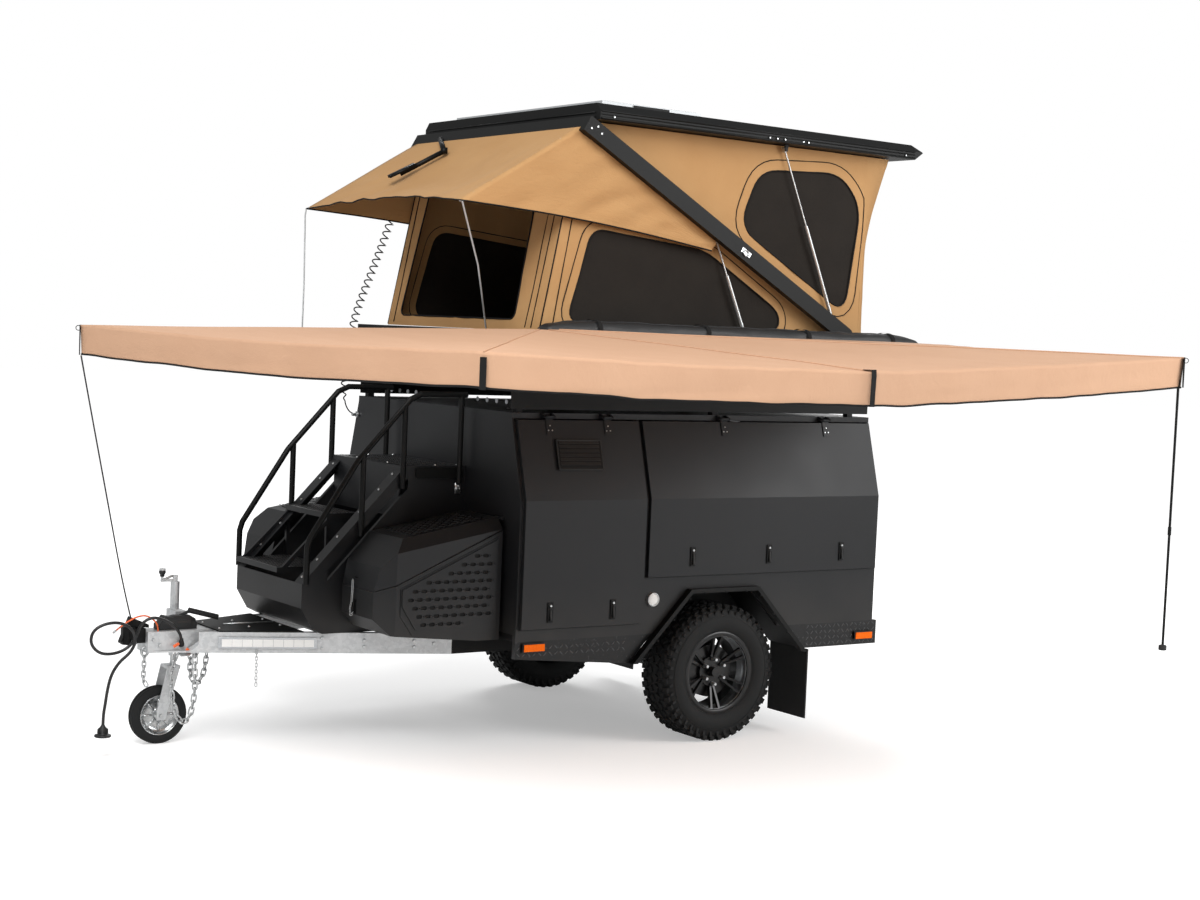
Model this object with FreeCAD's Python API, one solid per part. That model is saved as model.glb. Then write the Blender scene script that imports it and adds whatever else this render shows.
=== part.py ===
# Off-road camping trailer, parked on its jockey wheel, with the roof-top tent up
# and the fan-shaped side awning spread.
# Lengths are in millimetres and angles in degrees. While the shapes are drawn, x is
# zero over the axle and grows towards the tail, y is zero on the centreline and grows
# towards the far side, away from the awning, and z is zero on the ground.
# The last section moves everything so that the origin is under the middle of the whole.

import FreeCAD, Part
import math
import os

# Sizes: fits and clearances.
running_fit = 0.1
panel_gap = 6
moving_clearance = 8
soft_gap = 0.3
pivot_gap = 1
sheet_steel = 3
plate_steel = 8
cut_overrun = 20

# Sizes: wheels.
tyre_radius = 390
tyre_width = 255
tread_width = 209
shoulder_drop = 30
bead_step = 4
half_track = 882
rim_width = 215
rim_lip_width = 8
bead_radius = 216
rim_wall = 8
rim_flange_radius = 238
hub_face_inset = 66
spoke_rim_inset = 14
spoke_depth = 22
spoke_width = 13
spoke_count = 6
spoke_hub_radius = 62
spoke_hub_angle = 7
spoke_rim_angle = 7.5
hub_boss_radius = 86
hub_boss_thickness = 20
hub_cap_radius = 30
hub_cap_height = 44
drum_radius = 150
drum_depth = 60
stub_axle_radius = 32

# Sizes: chassis and drawbar.
rail_height = 110
rail_width = 50
rail_bottom = 530
half_rail_spacing = 600
rail_front_x = -1550
rail_rear_x = 1110
drawbar_nose_x = -2710
drawbar_nose_rake = 140
drawbar_nose_half_width = 98
tongue_half_width = 72
tongue_front_x = -3050
tongue_length = 420
deck_front_x = -2700
deck_rear_x = -2290
crossmember_width = 60
arm_pivot_x = -480
arm_pivot_radius = 24
arm_pivot_drop = 40

# Sizes: suspension.
arm_width = 60
arm_height = 84
arm_inner_y = 650
arm_tail_x = 190
air_spring_radius = 48
air_spring_x = 135

# Sizes: coupling and handbrake.
ball_radius = 25.2
ball_socket_depth = 25
ball_reach = 75
head_radius = 43
head_neck_half_width = 40
head_height = 92
head_handle_length = 150
head_handle_rise = 52
head_handle_half_width = 22
brake_box_length = 210
brake_box_height = 74
brake_box_half_width = 34
brake_grip_length = 165
brake_grip_radius = 15
brake_grip_tip_rise = 96
brake_grip_root_rise = 52

# Sizes: jockey wheel.
jockey_x = -2811
jockey_y = 165
jockey_tube_radius = 24
jockey_tube_top = 868
jockey_tube_bottom = 470
jockey_shaft_radius = 16
jockey_shaft_length = 120
jockey_fork_top = 420
jockey_fork_thickness = 6
jockey_clamp_rise = 80
jockey_wheel_radius = 155
jockey_rim_radius = 106
jockey_wheel_width = 66
jockey_dish_depth = 20
jockey_axle_radius = 9
jockey_caster = 78
jockey_fork_gap = 10
crank_cap_radius = 13
crank_cap_height = 34
crank_reach = 74
crank_rod_radius = 7
crank_knob_rise = 46
crank_knob_radius = 17
crank_knob_height = 26

# Sizes: cabin.
cabin_front_x = -1380
cabin_rear_x = 1143
crease_height = 1392
cabin_top = 1850
half_width = 1020
half_width_top = 890
floor_thickness = 35
wall_thickness = 30
door_thickness = 45
door_proud = 25
door_side_edge = 14
door_post_width = 16
door_split_x = -561
door_sill = 25
hatch_bottom = 953
hinge_radius = 8
hinge_drop = 18
hinge_outset = 14
hinge_strap_width = 46
hinge_strap_length = 95
hinge_strap_thickness = 6
hinge_ear_width = 12
front_hinge_xs = (-1165, -788)
rear_hinge_xs = (19, 775)
vent_front_x = -1139
vent_rear_x = -857
vent_bottom = 1556
vent_top = 1710
vent_proud = 14
side_door_open_angle = 80

# Sizes: tail door.
tail_edge = 68
tail_sill = 102
tail_hinge_y = 560
tail_door_open_angle = 80

# Sizes: wheel arch and flaps.
arch_front_foot_x = -637
arch_front_top_x = -256
arch_rear_top_x = 229
arch_rear_foot_x = 607
arch_top = 884
arch_foot = 486
arch_lip = 46
arch_lip_outset = 45
arch_leg_share = 1.4
wheel_box_inner_y = 700
flap_bottom = 92
flap_thickness = 9

# Sizes: tread-plate skirts and side lamps.
skirt_front_bottom = 548
skirt_rear_bottom = 500
skirt_tail_x = 1176
side_lamp_x = -495
side_lamp_height = 833
side_lamp_radius = 40
side_lamp_proud = 16
reflector_length = 130
reflector_height = 42
reflector_thickness = 12
front_reflector_x = -1269
front_reflector_z = 607
rear_reflector_x = 1067
rear_reflector_z = 554
drawbar_lamp_front_x = -2700
drawbar_lamp_length = 470
drawbar_lamp_height = 46
drawbar_lamp_thickness = 12

# Sizes: tool boxes on the drawbar.
box_inner_y = 450
box_outer_y = 880
box_front_x = -2130
box_corner_x = -2040
box_corner_y = 800
box_toe_x = -2058
box_toe_height = 688
box_chin_height = 767
box_joint_front = 907
box_joint_rear = 1225
box_rear_x = -1412
lid_shoulder_x = -2104
lid_shoulder_height = 1039
lid_brow_x = -1980
lid_brow_height = 1187
lid_rear_height = 1290
lid_side_bevel = 60
lid_open_angle = 60
lid_hinge_ys = (530, 800)
lid_pad_thickness = 5
lid_pad_edge = 60
box_panel_thickness = 4
box_panel_edge = 25
corner_wall_share = 1.5

# Sizes: stair and handrails.
stair_half_width = 410
stringer_thickness = 24
stringer_band = 95
stair_front_x = -2345
stair_chin_height = 780
stair_brow_height = 910
stair_toe_x = -2280
stair_toe_height = 670
stair_head_x = -1777
stair_head_height = 1505
platform_height = 1530
tread_depth = 190
tread_nose = 15
tread_near_y = -130
slot_front_x = -2200
slot_rear_x = -1735
slot_drop = 87
slot_depth = 54
tread_thickness = 28
tread_low_height = 965
tread_high_height = 1250
step_bar = 22
rail_tube_radius = 16
rail_bend_radius = 90
bend_share = 0.45
half_side_share = 0.5
knuckle_sides = 8
plug_sides = 12
cord_sides = 6
rail_foot_x = -2330
rail_knee_height = 1130
rail_elbow_x = -2050
rail_elbow_height = 1560
rail_bend_x = -1720
rail_top_height = 1920

# Sizes: roof rack and tent base.
rack_half_width = 860
rack_foot_height = 18
rack_height = 110
rack_rail_width = 40
rack_rail_wall = 5
rack_bar_height = 52
rack_bar_xs = (-1346, -34, 983)
base_height = 250
base_lip = 30
base_front_x = -1360
base_rear_x = 1150
base_overhang = 10

# Sizes: tent frame and shell.
frame_hinge_x = 872
frame_hinge_rise = 55
frame_fold_angle = 29.4
frame_length = 2134
beam_depth = 90
beam_width = 45
shell_pivot_offset = 55
shell_length = 2300
shell_thickness = 90
shell_half_width = 950
shell_side_bevel = 40
shell_droop_angle = 0.7
shell_tip = 62
fold_pin_radius = 10
shell_hinge_inset = 330
solar_side_margin = 166
solar_front_run = 131
solar_length = 674
solar_thickness = 35

# Sizes: gas struts.
strut_inset = 77
strut_pin_radius = 5
strut_tube_radius = 11
strut_rod_radius = 5
strut_eye_radius = 14
strut_mouth_share = 0.58
strut_rod_share = 0.42
strut_bore_share = 0.05
upper_strut_shell_run = 1353.6
upper_strut_shell_drop = 26
upper_strut_beam_run = 47.8
upper_strut_beam_rise = 15.5
lower_strut_beam_run = 1110.7
lower_strut_beam_rise = 5.4
lower_strut_base_x = 165
lower_strut_base_rise = 26

# Sizes: tent fabric.
fabric_thickness = 6
fabric_inset = 102
fabric_foot_x = -1220
fabric_rear_inset = 115
fabric_waist_inset = 155
fabric_rear_waist_rise = 643
tent_door_near_y = -580
tent_door_far_y = 710
tent_door_sill = 60
tent_door_head_drop = 150
upper_window_shares = ((0.3566, 0.3032), (0.2957, 0.4588), (0.0131, 0.4714), (-0.0726, 0.3875),
                       (-0.0258, 0.0862))
lower_window_shares = ((0.8313, 0.2694), (0.9039, 0.0281), (0.2048, 0.0281), (0.2048, 0.0806),
                       (0.4663, 0.2324))
mesh_thickness = 2
fly_reach = 722
fly_drop = 441
fly_side_run = 1081
fly_side_drop = 58
fly_side_inset = 40
fly_rod_radius = 5
fly_rod_foot_inset = 12
fly_rod_foot_y = 520

# Sizes: awning.
bag_front_x = -1340
bag_rear_x = 1300
bag_width = 165
bag_height = 120
bag_over_hub = 65
bag_corner = 30
bag_bracket_width = 60
awning_hub_rise = 20
awning_hub_x = -1400
bag_bracket_reach = 25
awning_left = (-2100, 960, -80)
awning_mid = (-1390, -1750, -100)
awning_low = (210, -2320, -116)
awning_right = (2400, -2170, -7)
awning_root_x = 1290
awning_root_rise = 10
awning_skirt = 150
awning_arm_width = 26
awning_arm_end_gap = 24
awning_cloth = 4
awning_sag_gap = 3
awning_pole_radius = 13
awning_pole_length = 1443
awning_hub_radius = 36
awning_foot_radius = 32
awning_foot_height = 13

# Sizes: cords at the drawbar's nose. A route is a list of x, y and z chosen by hand.
lead_radius = 8
breakaway_radius = 4
lead_gland_radius = 13
lead_gland_length = 30
curly_radius = 13
lead_route = [
    (-2868, -80, 572), (-2882, -112, 616), (-2918, -124, 666), (-2974, -124, 708), (-3050, -114, 728),
    (-3104, -98, 688),
    (-3118, -84, 616), (-3160, -74, 562), (-3230, -70, 536), (-3308, -70, 542), (-3360, -74, 596),
    (-3352, -80, 662),
    (-3296, -88, 698), (-3218, -98, 706), (-3152, -108, 674), (-3128, -114, 608), (-3158, -112, 546),
    (-3214, -104, 500),
    (-3252, -96, 436), (-3268, -90, 356), (-3276, -86, 280), (-3284, -84, 222), (-3284, -84, 168)]
breakaway_route = [
    (-2990, -56, 640), (-2990, -56, 672), (-3022, -64, 708), (-3064, -66, 730), (-3110, -66, 724),
    (-3154, -66, 704),
    (-3198, -64, 676), (-3236, -62, 644)]
curly_route = [
    (-1380, 880, 1737), (-1424, 880, 1737), (-1462, 888, 1786), (-1470, 898, 1862), (-1456, 910, 1960),
    (-1424, 930, 2110),
    (-1392, 960, 2290), (-1330, 980, 2440), (-1262, 988, 2600), (-1200, 990, 2760), (-1150, 990, 2900),
    (-1095, 988, 3050),
    (-1050, 988, 3200), (-1012, 990, 3320), (-972, 988, 3412), (-940, 961, 3454)]
plug_radius = 26
plug_height = 44
plug_flange_radius = 44
plug_flange_height = 12


def vec(x, y, z):
    return FreeCAD.Vector(x, y, z)


def block(x0, x1, y0, y1, z0, z1):
    """A box between three pairs of planes."""
    return Part.makeBox(x1 - x0, y1 - y0, z1 - z0, vec(x0, y0, z0))


def face_of(points):
    """A flat face inside a closed outline."""
    return Part.Face(Part.makePolygon(points + [points[0]]))


def along_y(outline, y0, y1):
    """An outline in x and z, carried from y0 to y1."""
    return face_of([vec(x, y0, z) for x, z in outline]).extrude(vec(0, y1 - y0, 0))


def along_x(outline, x0, x1):
    """An outline in y and z, carried from x0 to x1."""
    return face_of([vec(x0, y, z) for y, z in outline]).extrude(vec(x1 - x0, 0, 0))


def along_z(outline, z0, z1):
    """An outline in x and y, carried from z0 to z1."""
    return face_of([vec(x, y, z0) for x, y in outline]).extrude(vec(0, 0, z1 - z0))


def rod(start, end, radius):
    """A round bar between two points."""
    return Part.makeCylinder(radius, (end - start).Length, start, end - start)


def across(x, z, y0, y1, radius):
    """A round bar along y."""
    return Part.makeCylinder(radius, y1 - y0, vec(x, y0, z), vec(0, 1, 0))


def prism(start, end, radius, sides):
    """A bar of several flat sides between two points; its corners lie on the radius."""
    run = end - start
    spoke = run.cross(vec(0, 0, 1))
    if spoke.Length < running_fit:
        spoke = vec(1, 0, 0)
    spoke.normalize()
    turns = [(i + half_side_share) * 360 / sides for i in range(sides)]
    corners = [start + FreeCAD.Rotation(run, turn).multVec(spoke) * radius for turn in turns]
    return face_of(corners).extrude(run)


def upright(x, y, z0, z1, radius):
    """A round bar along z."""
    return Part.makeCylinder(radius, z1 - z0, vec(x, y, z0))


def square_bar(start, end, width):
    """A square bar between two points, with two of its faces upright."""
    run = end - start
    side = vec(-run.y, run.x, 0)
    side.normalize()
    lift = side.cross(run)
    lift.normalize()
    half = width / 2
    corners = [start + side * half * a + lift * half * b for a, b in ((-1, -1), (1, -1), (1, 1), (-1, 1))]
    return face_of(corners).extrude(run)


def joined(*pieces):
    """One solid from pieces that overlap or meet."""
    whole = pieces[0]
    if len(pieces) > 1:
        whole = pieces[0].fuse(list(pieces[1:]))
    return whole.removeSplitter()


def without(shape, *tools):
    """A shape with others cut out of it."""
    return shape.cut(list(tools))


def other_side(shape):
    """The same piece on the other side of the centreline."""
    return shape.mirror(vec(0, 0, 0), vec(0, 1, 0))


def both_sides(*pieces):
    """The like pieces of the near and far sides, in one node."""
    return Part.makeCompound(list(pieces) + [other_side(piece) for piece in pieces])


def path_wire(points, bend, reach_share):
    """Straight runs through the points, joined by tangent arcs of one radius, or as large as will fit."""
    edges = []
    last = points[0]
    radii = []
    for before, corner, after in zip(points, points[1:], points[2:]):
        into = before - corner
        out = after - corner
        half_turn = (math.pi - into.getAngle(out)) / 2
        radius = reach_share * min(into.Length, out.Length) / math.tan(half_turn)
        if bend:
            radius = min(bend, radius)
        reach = radius * math.tan(half_turn)
        into.normalize()
        out.normalize()
        start = corner + into * reach
        end = corner + out * reach
        towards = into + out
        towards.normalize()
        centre = corner + towards * (radius / math.cos(half_turn))
        middle = centre - towards * radius
        edges.append(Part.LineSegment(last, start).toShape())
        edges.append(Part.Arc(start, middle, end).toShape())
        radii.append(radius)
        last = end
    edges.append(Part.LineSegment(last, points[-1]).toShape())
    return Part.Wire(edges), radii


def tube_along(points, radius, bend):
    """A round tube whose centre follows the points, each corner eased by a short straight run."""
    eased = [points[0]]
    for before, corner, after in zip(points, points[1:], points[2:]):
        into = before - corner
        out = after - corner
        reach = bend * math.tan((math.pi - into.getAngle(out)) / 2)
        into.normalize()
        out.normalize()
        eased += [corner + into * reach, corner + out * reach]
    eased.append(points[-1])
    ring = Part.Wire(Part.makeCircle(radius, points[0], points[1] - points[0]))
    return Part.makePolygon(eased).makePipeShell([ring], True, False, 1)


def turned(outline, x, z):
    """An outline of (distance along y, radius) pairs, turned about the line along y through x and z."""
    face = face_of([vec(x, y, z + r) for y, r in outline])
    return face.revolve(vec(x, 0, z), vec(0, 1, 0), 360)


def strap_hinge(pin, outward, along, skin_lean, root_depth, root_high):
    """A strap hinge about the pin's middle point: strap and knuckle of the leaf that moves, ears of the other.

    The strap runs down the door's skin, which leans out as it drops; the ears run in to the carrier."""
    up = vec(0, 0, 1)

    def place(outline, start, width):
        corners = [pin + outward * u + up * h + along * start for u, h in outline]
        return face_of(corners).extrude(along * width)

    def skin(h):
        return -hinge_outset - skin_lean * h
    half = hinge_strap_width / 2
    top = -hinge_radius - panel_gap
    foot = -hinge_strap_length
    strap = place([(skin(top), top), (skin(foot), foot), (skin(foot) + hinge_strap_thickness, foot),
                   (skin(top) + hinge_strap_thickness, top), (hinge_radius, 0), (-hinge_radius, 0)], -half,
                   hinge_strap_width)
    knuckle = prism(pin - along * half, pin + along * half, hinge_radius, knuckle_sides)
    ear_outline = [(-root_depth, -hinge_radius), (0, -hinge_radius), (hinge_radius, 0), (0, hinge_radius),
                   (-root_depth, root_high)]
    starts = (-half - running_fit - hinge_ear_width, half + running_fit)
    ears = [place(ear_outline, start, hinge_ear_width) for start in starts]
    return strap.fuse(knuckle), ears


nodes = {}

# Tyre: a solid ring with upright walls and bevelled shoulders, seated on the rim's barrel.
wheel_y = -half_track
half_tyre = tyre_width / 2
half_rim = rim_width / 2
lip_inner = half_rim - rim_lip_width
shoulder_radius = tyre_radius - shoulder_drop
wall_inner = rim_flange_radius + bead_step
tyre_section = [(lip_inner, bead_radius), (lip_inner, wall_inner), (half_tyre, wall_inner),
                (half_tyre, shoulder_radius), (tread_width / 2, tyre_radius)]
tyre = turned([(wheel_y - y, r) for y, r in tyre_section] + [(wheel_y + y, r) for y,
    r in reversed(tyre_section)], 0, tyre_radius)
nodes["tyre_near"] = tyre
nodes["tyre_far"] = other_side(tyre)

# Rim: a barrel with an outer lip, six dished twin-bar spokes, the hub boss with its cap, and the brake drum.
bore_radius = bead_radius - rim_wall
rim_face_y = wheel_y - half_rim
hub_face_y = rim_face_y + hub_face_inset
rim_section = [(half_rim, bead_radius), (-lip_inner, bead_radius), (-lip_inner, rim_flange_radius),
               (-half_rim, rim_flange_radius),
               (-half_rim, bore_radius), (half_rim, bore_radius)]
barrel = turned([(wheel_y + y, r) for y, r in rim_section], 0, tyre_radius)


def polar(radius, turn):
    """A point of the wheel's face, seen from the side."""
    angle = math.radians(turn)
    return vec(radius * math.sin(angle), 0, tyre_radius + radius * math.cos(angle))


def spoke_bar(turn, lean_to):
    """One bar of a spoke: it runs out from the hub boss to the barrel and rises to the rim's face."""
    hub_end = polar(spoke_hub_radius, turn + lean_to * spoke_hub_angle)
    rim_end = polar(bore_radius + rim_wall / 2, turn + lean_to * spoke_rim_angle)
    run = rim_end - hub_end
    side = run.cross(vec(0, 1, 0))
    side.normalize()
    depths = ((hub_end, hub_face_y), (rim_end, rim_face_y + spoke_rim_inset))
    near_edge = [end + vec(0, y, 0) - side * (spoke_width / 2) for end, y in depths]
    far_edge = [point + vec(0, spoke_depth, 0) for point in reversed(near_edge)]
    return face_of(near_edge + far_edge).extrude(side * spoke_width)


spoke_turns = [i * 360 / spoke_count for i in range(spoke_count)]
spokes = [spoke_bar(turn, lean_to) for turn in spoke_turns for lean_to in (-1, 1)]
boss_back_y = hub_face_y + hub_boss_thickness
boss = across(0, tyre_radius, hub_face_y, boss_back_y, hub_boss_radius)
cap = across(0, tyre_radius, hub_face_y - hub_cap_height, hub_face_y, hub_cap_radius)
drum_inner_y = boss_back_y + drum_depth
drum = across(0, tyre_radius, boss_back_y, drum_inner_y, drum_radius)
axle_bore = across(0, tyre_radius, boss_back_y, drum_inner_y, stub_axle_radius + running_fit)
rim = without(barrel.fuse(spokes + [boss, cap, drum]), axle_bore)
nodes["rim_near"] = rim
nodes["rim_far"] = other_side(rim)

# Chassis: two box rails, crossmembers between them and the pivot tube of the trailing arms.
rail_top = rail_bottom + rail_height
rail_inner = half_rail_spacing - rail_width / 2
rail_outer = half_rail_spacing + rail_width / 2
arm_outer_y = arm_inner_y + arm_width
rail_near = block(rail_front_x, rail_rear_x, -rail_outer, -rail_inner, rail_bottom, rail_top)
crossmember_xs = [cabin_front_x + crossmember_width, arm_pivot_x, air_spring_x,
                  rail_rear_x - crossmember_width]
crossmembers = [block(x - crossmember_width / 2, x + crossmember_width / 2, -rail_inner, rail_inner,
                      rail_bottom, rail_top - sheet_steel) for x in crossmember_xs]
pivot_z = rail_bottom - arm_pivot_drop
pivot_reach = arm_outer_y + plate_steel
pivot_tube = across(arm_pivot_x, pivot_z, -pivot_reach, pivot_reach, arm_pivot_radius)
pivot_hanger = block(arm_pivot_x - arm_pivot_radius, arm_pivot_x + arm_pivot_radius, -rail_outer,
                     -rail_inner, pivot_z, rail_bottom)
spring_seat = block(air_spring_x - air_spring_radius, air_spring_x + air_spring_radius,
                    -arm_outer_y - moving_clearance, -rail_outer, rail_top - plate_steel, rail_top)
nodes["chassis_frame"] = joined(rail_near, other_side(rail_near), *crossmembers, pivot_tube,
                                pivot_hanger, other_side(pivot_hanger), spring_seat,
                                other_side(spring_seat))

# Trailing arms: one at each side, from the pivot tube back past the stub axle to the air spring's pad.
arm_half = arm_height / 2
arm_outline = [(arm_pivot_x - arm_half, pivot_z), (arm_pivot_x, pivot_z + arm_half),
               (0, tyre_radius + arm_half),
               (arm_tail_x, tyre_radius + arm_half), (arm_tail_x, tyre_radius + arm_half - plate_steel),
               (0, tyre_radius - arm_half), (arm_pivot_x, pivot_z - arm_half)]
arm = along_y(arm_outline, -arm_outer_y, -arm_inner_y)
stub = across(0, tyre_radius, boss_back_y + plate_steel, -arm_outer_y, stub_axle_radius)
nodes["trailing_arms"] = both_sides(without(arm.fuse(stub), pivot_tube))

# Air springs: a rubber bellows between each arm and its seat on the chassis.
spring_y = -(arm_inner_y + arm_width / 2 + sheet_steel)
bellows = upright(air_spring_x, spring_y, tyre_radius + arm_half, rail_top - plate_steel, air_spring_radius)
nodes["air_springs"] = both_sides(bellows)

# Drawbar: two box rails that close in on a square tongue, their front ends raked back.
nose_inner = drawbar_nose_half_width - rail_width / 2
nose_outer = drawbar_nose_half_width + rail_width / 2
draw_rail = along_z([(drawbar_nose_x - drawbar_nose_rake, -nose_outer), (rail_front_x, -rail_outer),
                     (rail_front_x, -rail_inner),
                     (drawbar_nose_x - drawbar_nose_rake, -nose_inner)], rail_bottom, rail_top)
rake = along_y([(drawbar_nose_x - drawbar_nose_rake - cut_overrun, rail_bottom),
                (drawbar_nose_x - drawbar_nose_rake, rail_bottom),
                (drawbar_nose_x, rail_top), (drawbar_nose_x - drawbar_nose_rake - cut_overrun, rail_top)],
                -nose_outer - cut_overrun, 0)
draw_rail = without(draw_rail, rake)
tongue = block(tongue_front_x, tongue_front_x + tongue_length, -tongue_half_width, tongue_half_width,
               rail_bottom, rail_top)
lead_start, lead_next = vec(*lead_route[0]), vec(*lead_route[1])
lead_gland = prism(lead_start - (lead_next - lead_start).normalize() * lead_gland_length, lead_start,
                   lead_gland_radius, knuckle_sides)
nodes["drawbar"] = joined(draw_rail, other_side(draw_rail), tongue, lead_gland)


def draw_rail_y(x, edge_nose, edge_rail):
    """How far an edge of the closing-in rails stands from the centreline at x."""
    nose_x = drawbar_nose_x - drawbar_nose_rake
    return edge_nose + (edge_rail - edge_nose) * (x - nose_x) / (rail_front_x - nose_x)


# Drawbar deck: a black plate laid over the rails behind the tongue.
deck_front_y = draw_rail_y(deck_front_x, nose_outer, rail_outer)
deck_rear_y = draw_rail_y(deck_rear_x, nose_outer, rail_outer)
deck_high = rail_top + plate_steel
nodes["drawbar_deck"] = along_z([(deck_front_x, -deck_front_y), (deck_rear_x, -deck_rear_y),
                                 (deck_rear_x, deck_rear_y), (deck_front_x, deck_front_y)],
                                rail_top, deck_high)

# Coupling head: a hollow cap over the tow ball, on a neck let in to the tongue, with a lifting handle over it.
ball_centre_x = tongue_front_x - ball_reach
ball_z = rail_bottom + rail_height / 2
head_low = ball_z - ball_socket_depth / 2
head_high = head_low + head_height
head_neck = block(ball_centre_x, tongue_front_x, -head_neck_half_width, head_neck_half_width,
                  head_low + plate_steel, head_high - plate_steel)
head_dome = prism(vec(ball_centre_x, 0, head_low), vec(ball_centre_x, 0, head_high), head_radius,
                  knuckle_sides)
socket = upright(ball_centre_x, 0, head_low, head_low + ball_socket_depth, ball_radius)
handle_front_x = ball_centre_x - head_radius - plate_steel
head_handle = along_y([(handle_front_x, head_low + plate_steel),
                       (handle_front_x, head_low + 2 * plate_steel),
                       (ball_centre_x, head_high + head_handle_rise),
                       (handle_front_x + head_handle_length, head_high + plate_steel),
                       (handle_front_x + head_handle_length, head_high - plate_steel),
                       (ball_centre_x, head_high)],
                      -head_handle_half_width, head_handle_half_width)
nodes["coupling_head"] = without(head_neck.fuse([head_dome, head_handle]), socket)

# Handbrake: its housing on the tongue and the lever lying back over the deck.
brake_front_x = tongue_front_x + ball_reach
brake_rear_x = brake_front_x + brake_box_length
brake_box = along_y([(brake_front_x, rail_top), (brake_front_x + plate_steel,
                                                 rail_top + brake_box_height / 2),
                     (brake_front_x + brake_box_half_width, rail_top + brake_box_height),
                     (brake_rear_x, rail_top + brake_box_height / 2), (brake_rear_x, rail_top)],
                    -brake_box_half_width, brake_box_half_width)
grip_start = vec(brake_rear_x - brake_box_half_width, 0, rail_top + brake_grip_tip_rise)
grip_end = vec(brake_rear_x - brake_box_half_width + brake_grip_length, 0, rail_top + brake_grip_root_rise)
brake_lever = along_y([(brake_front_x + brake_box_half_width, rail_top + brake_box_height / 2),
                       (grip_start.x, grip_start.z - brake_grip_radius),
                       (grip_end.x, grip_end.z - brake_grip_radius), (grip_end.x, grip_end.z),
                       (grip_start.x, grip_start.z)], -plate_steel, plate_steel)
nodes["handbrake"] = brake_box.fuse([brake_lever,
                                     prism(grip_start, grip_end, brake_grip_radius, knuckle_sides)])

# Jockey post: the clamp on the tongue and the outer tube that it grips, with the crank on top.
post = upright(jockey_x, jockey_y, jockey_tube_bottom, jockey_tube_top, jockey_tube_radius)
clamp = block(jockey_x - jockey_tube_radius - plate_steel, jockey_x + jockey_tube_radius + plate_steel,
              tongue_half_width, jockey_y + jockey_tube_radius + plate_steel, rail_bottom + plate_steel,
              rail_top + jockey_clamp_rise)
shaft_bore = upright(jockey_x, jockey_y, jockey_tube_bottom, jockey_tube_bottom + jockey_shaft_length,
                     jockey_shaft_radius + running_fit)
crank_cap = prism(vec(jockey_x, jockey_y, jockey_tube_top),
                  vec(jockey_x, jockey_y, jockey_tube_top + crank_cap_height), crank_cap_radius,
knuckle_sides)
crank_x = jockey_x - crank_reach
crank_arm = square_bar(vec(jockey_x, jockey_y, jockey_tube_top + crank_rod_radius),
                       vec(crank_x - crank_rod_radius, jockey_y, jockey_tube_top + crank_rod_radius),
2 * crank_rod_radius)
crank_top = jockey_tube_top + crank_knob_rise
crank_post = prism(vec(crank_x, jockey_y, jockey_tube_top + crank_rod_radius),
                   vec(crank_x, jockey_y, crank_top), crank_rod_radius, knuckle_sides)
crank_knob = prism(vec(crank_x, jockey_y, crank_top),
                   vec(crank_x, jockey_y, crank_top + crank_knob_height), crank_knob_radius, knuckle_sides)
jockey_pieces = post.fuse([clamp, crank_cap, crank_arm, crank_post, crank_knob])
nodes["jockey_post"] = without(jockey_pieces, nodes["drawbar"], shaft_bore)

# Jockey fork: it turns about the post on its own shaft and carries the wheel a little ahead.
fork_inner = jockey_wheel_width / 2 + jockey_fork_gap
fork_outer = fork_inner + jockey_fork_thickness
jockey_wheel_x = jockey_x - jockey_caster
fork_front_x = jockey_x - 2 * jockey_tube_radius
fork_rear_x = jockey_x + jockey_tube_radius
fork_crown = block(fork_front_x, fork_rear_x, jockey_y - fork_outer, jockey_y + fork_outer,
                   jockey_fork_top - 2 * plate_steel, jockey_fork_top)
fork_leg_outline = [(jockey_wheel_x - jockey_tube_radius, jockey_wheel_radius - jockey_tube_radius),
                    (jockey_wheel_x + jockey_tube_radius, jockey_wheel_radius - jockey_tube_radius),
                    (fork_rear_x, jockey_fork_top), (fork_front_x, jockey_fork_top),
                    (jockey_wheel_x - jockey_tube_radius, jockey_wheel_radius + jockey_tube_radius)]
fork_legs = [along_y(fork_leg_outline, jockey_y + y0,
                     jockey_y + y0 + jockey_fork_thickness) for y0 in (-fork_outer, fork_inner)]
fork_shaft = upright(jockey_x, jockey_y, jockey_fork_top,
                     jockey_tube_bottom + jockey_shaft_length - pivot_gap, jockey_shaft_radius)
fork_axle = across(jockey_wheel_x, jockey_wheel_radius, jockey_y - fork_inner, jockey_y + fork_inner,
                   jockey_axle_radius)
nodes["jockey_fork"] = fork_crown.fuse(fork_legs + [fork_shaft, fork_axle])
half_jockey = jockey_wheel_width / 2
jockey_section = [(half_jockey, jockey_wheel_radius), (half_jockey, jockey_rim_radius),
                  (half_jockey - jockey_dish_depth, jockey_rim_radius)]
jockey_bore_radius = jockey_axle_radius + running_fit
jockey_disc_half = half_jockey - jockey_dish_depth
jockey_outline = [(jockey_y - y, r) for y, r in jockey_section] + [(jockey_y - jockey_disc_half,
    jockey_bore_radius), (jockey_y + jockey_disc_half, jockey_bore_radius)]
jockey_outline += [(jockey_y + y, r) for y, r in reversed(jockey_section)]
nodes["jockey_wheel"] = turned(jockey_outline, jockey_wheel_x, jockey_wheel_radius)

# Cabin section: upright sides to the crease, then leaning in to the roof.
cabin_bottom = rail_top + floor_thickness
lean = (half_width - half_width_top) / (cabin_top - crease_height)


def side_y(z, inset):
    """How far the outer skin, less an inset, stands from the centreline at height z."""
    return half_width - inset - max(0, z - crease_height) * lean


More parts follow.
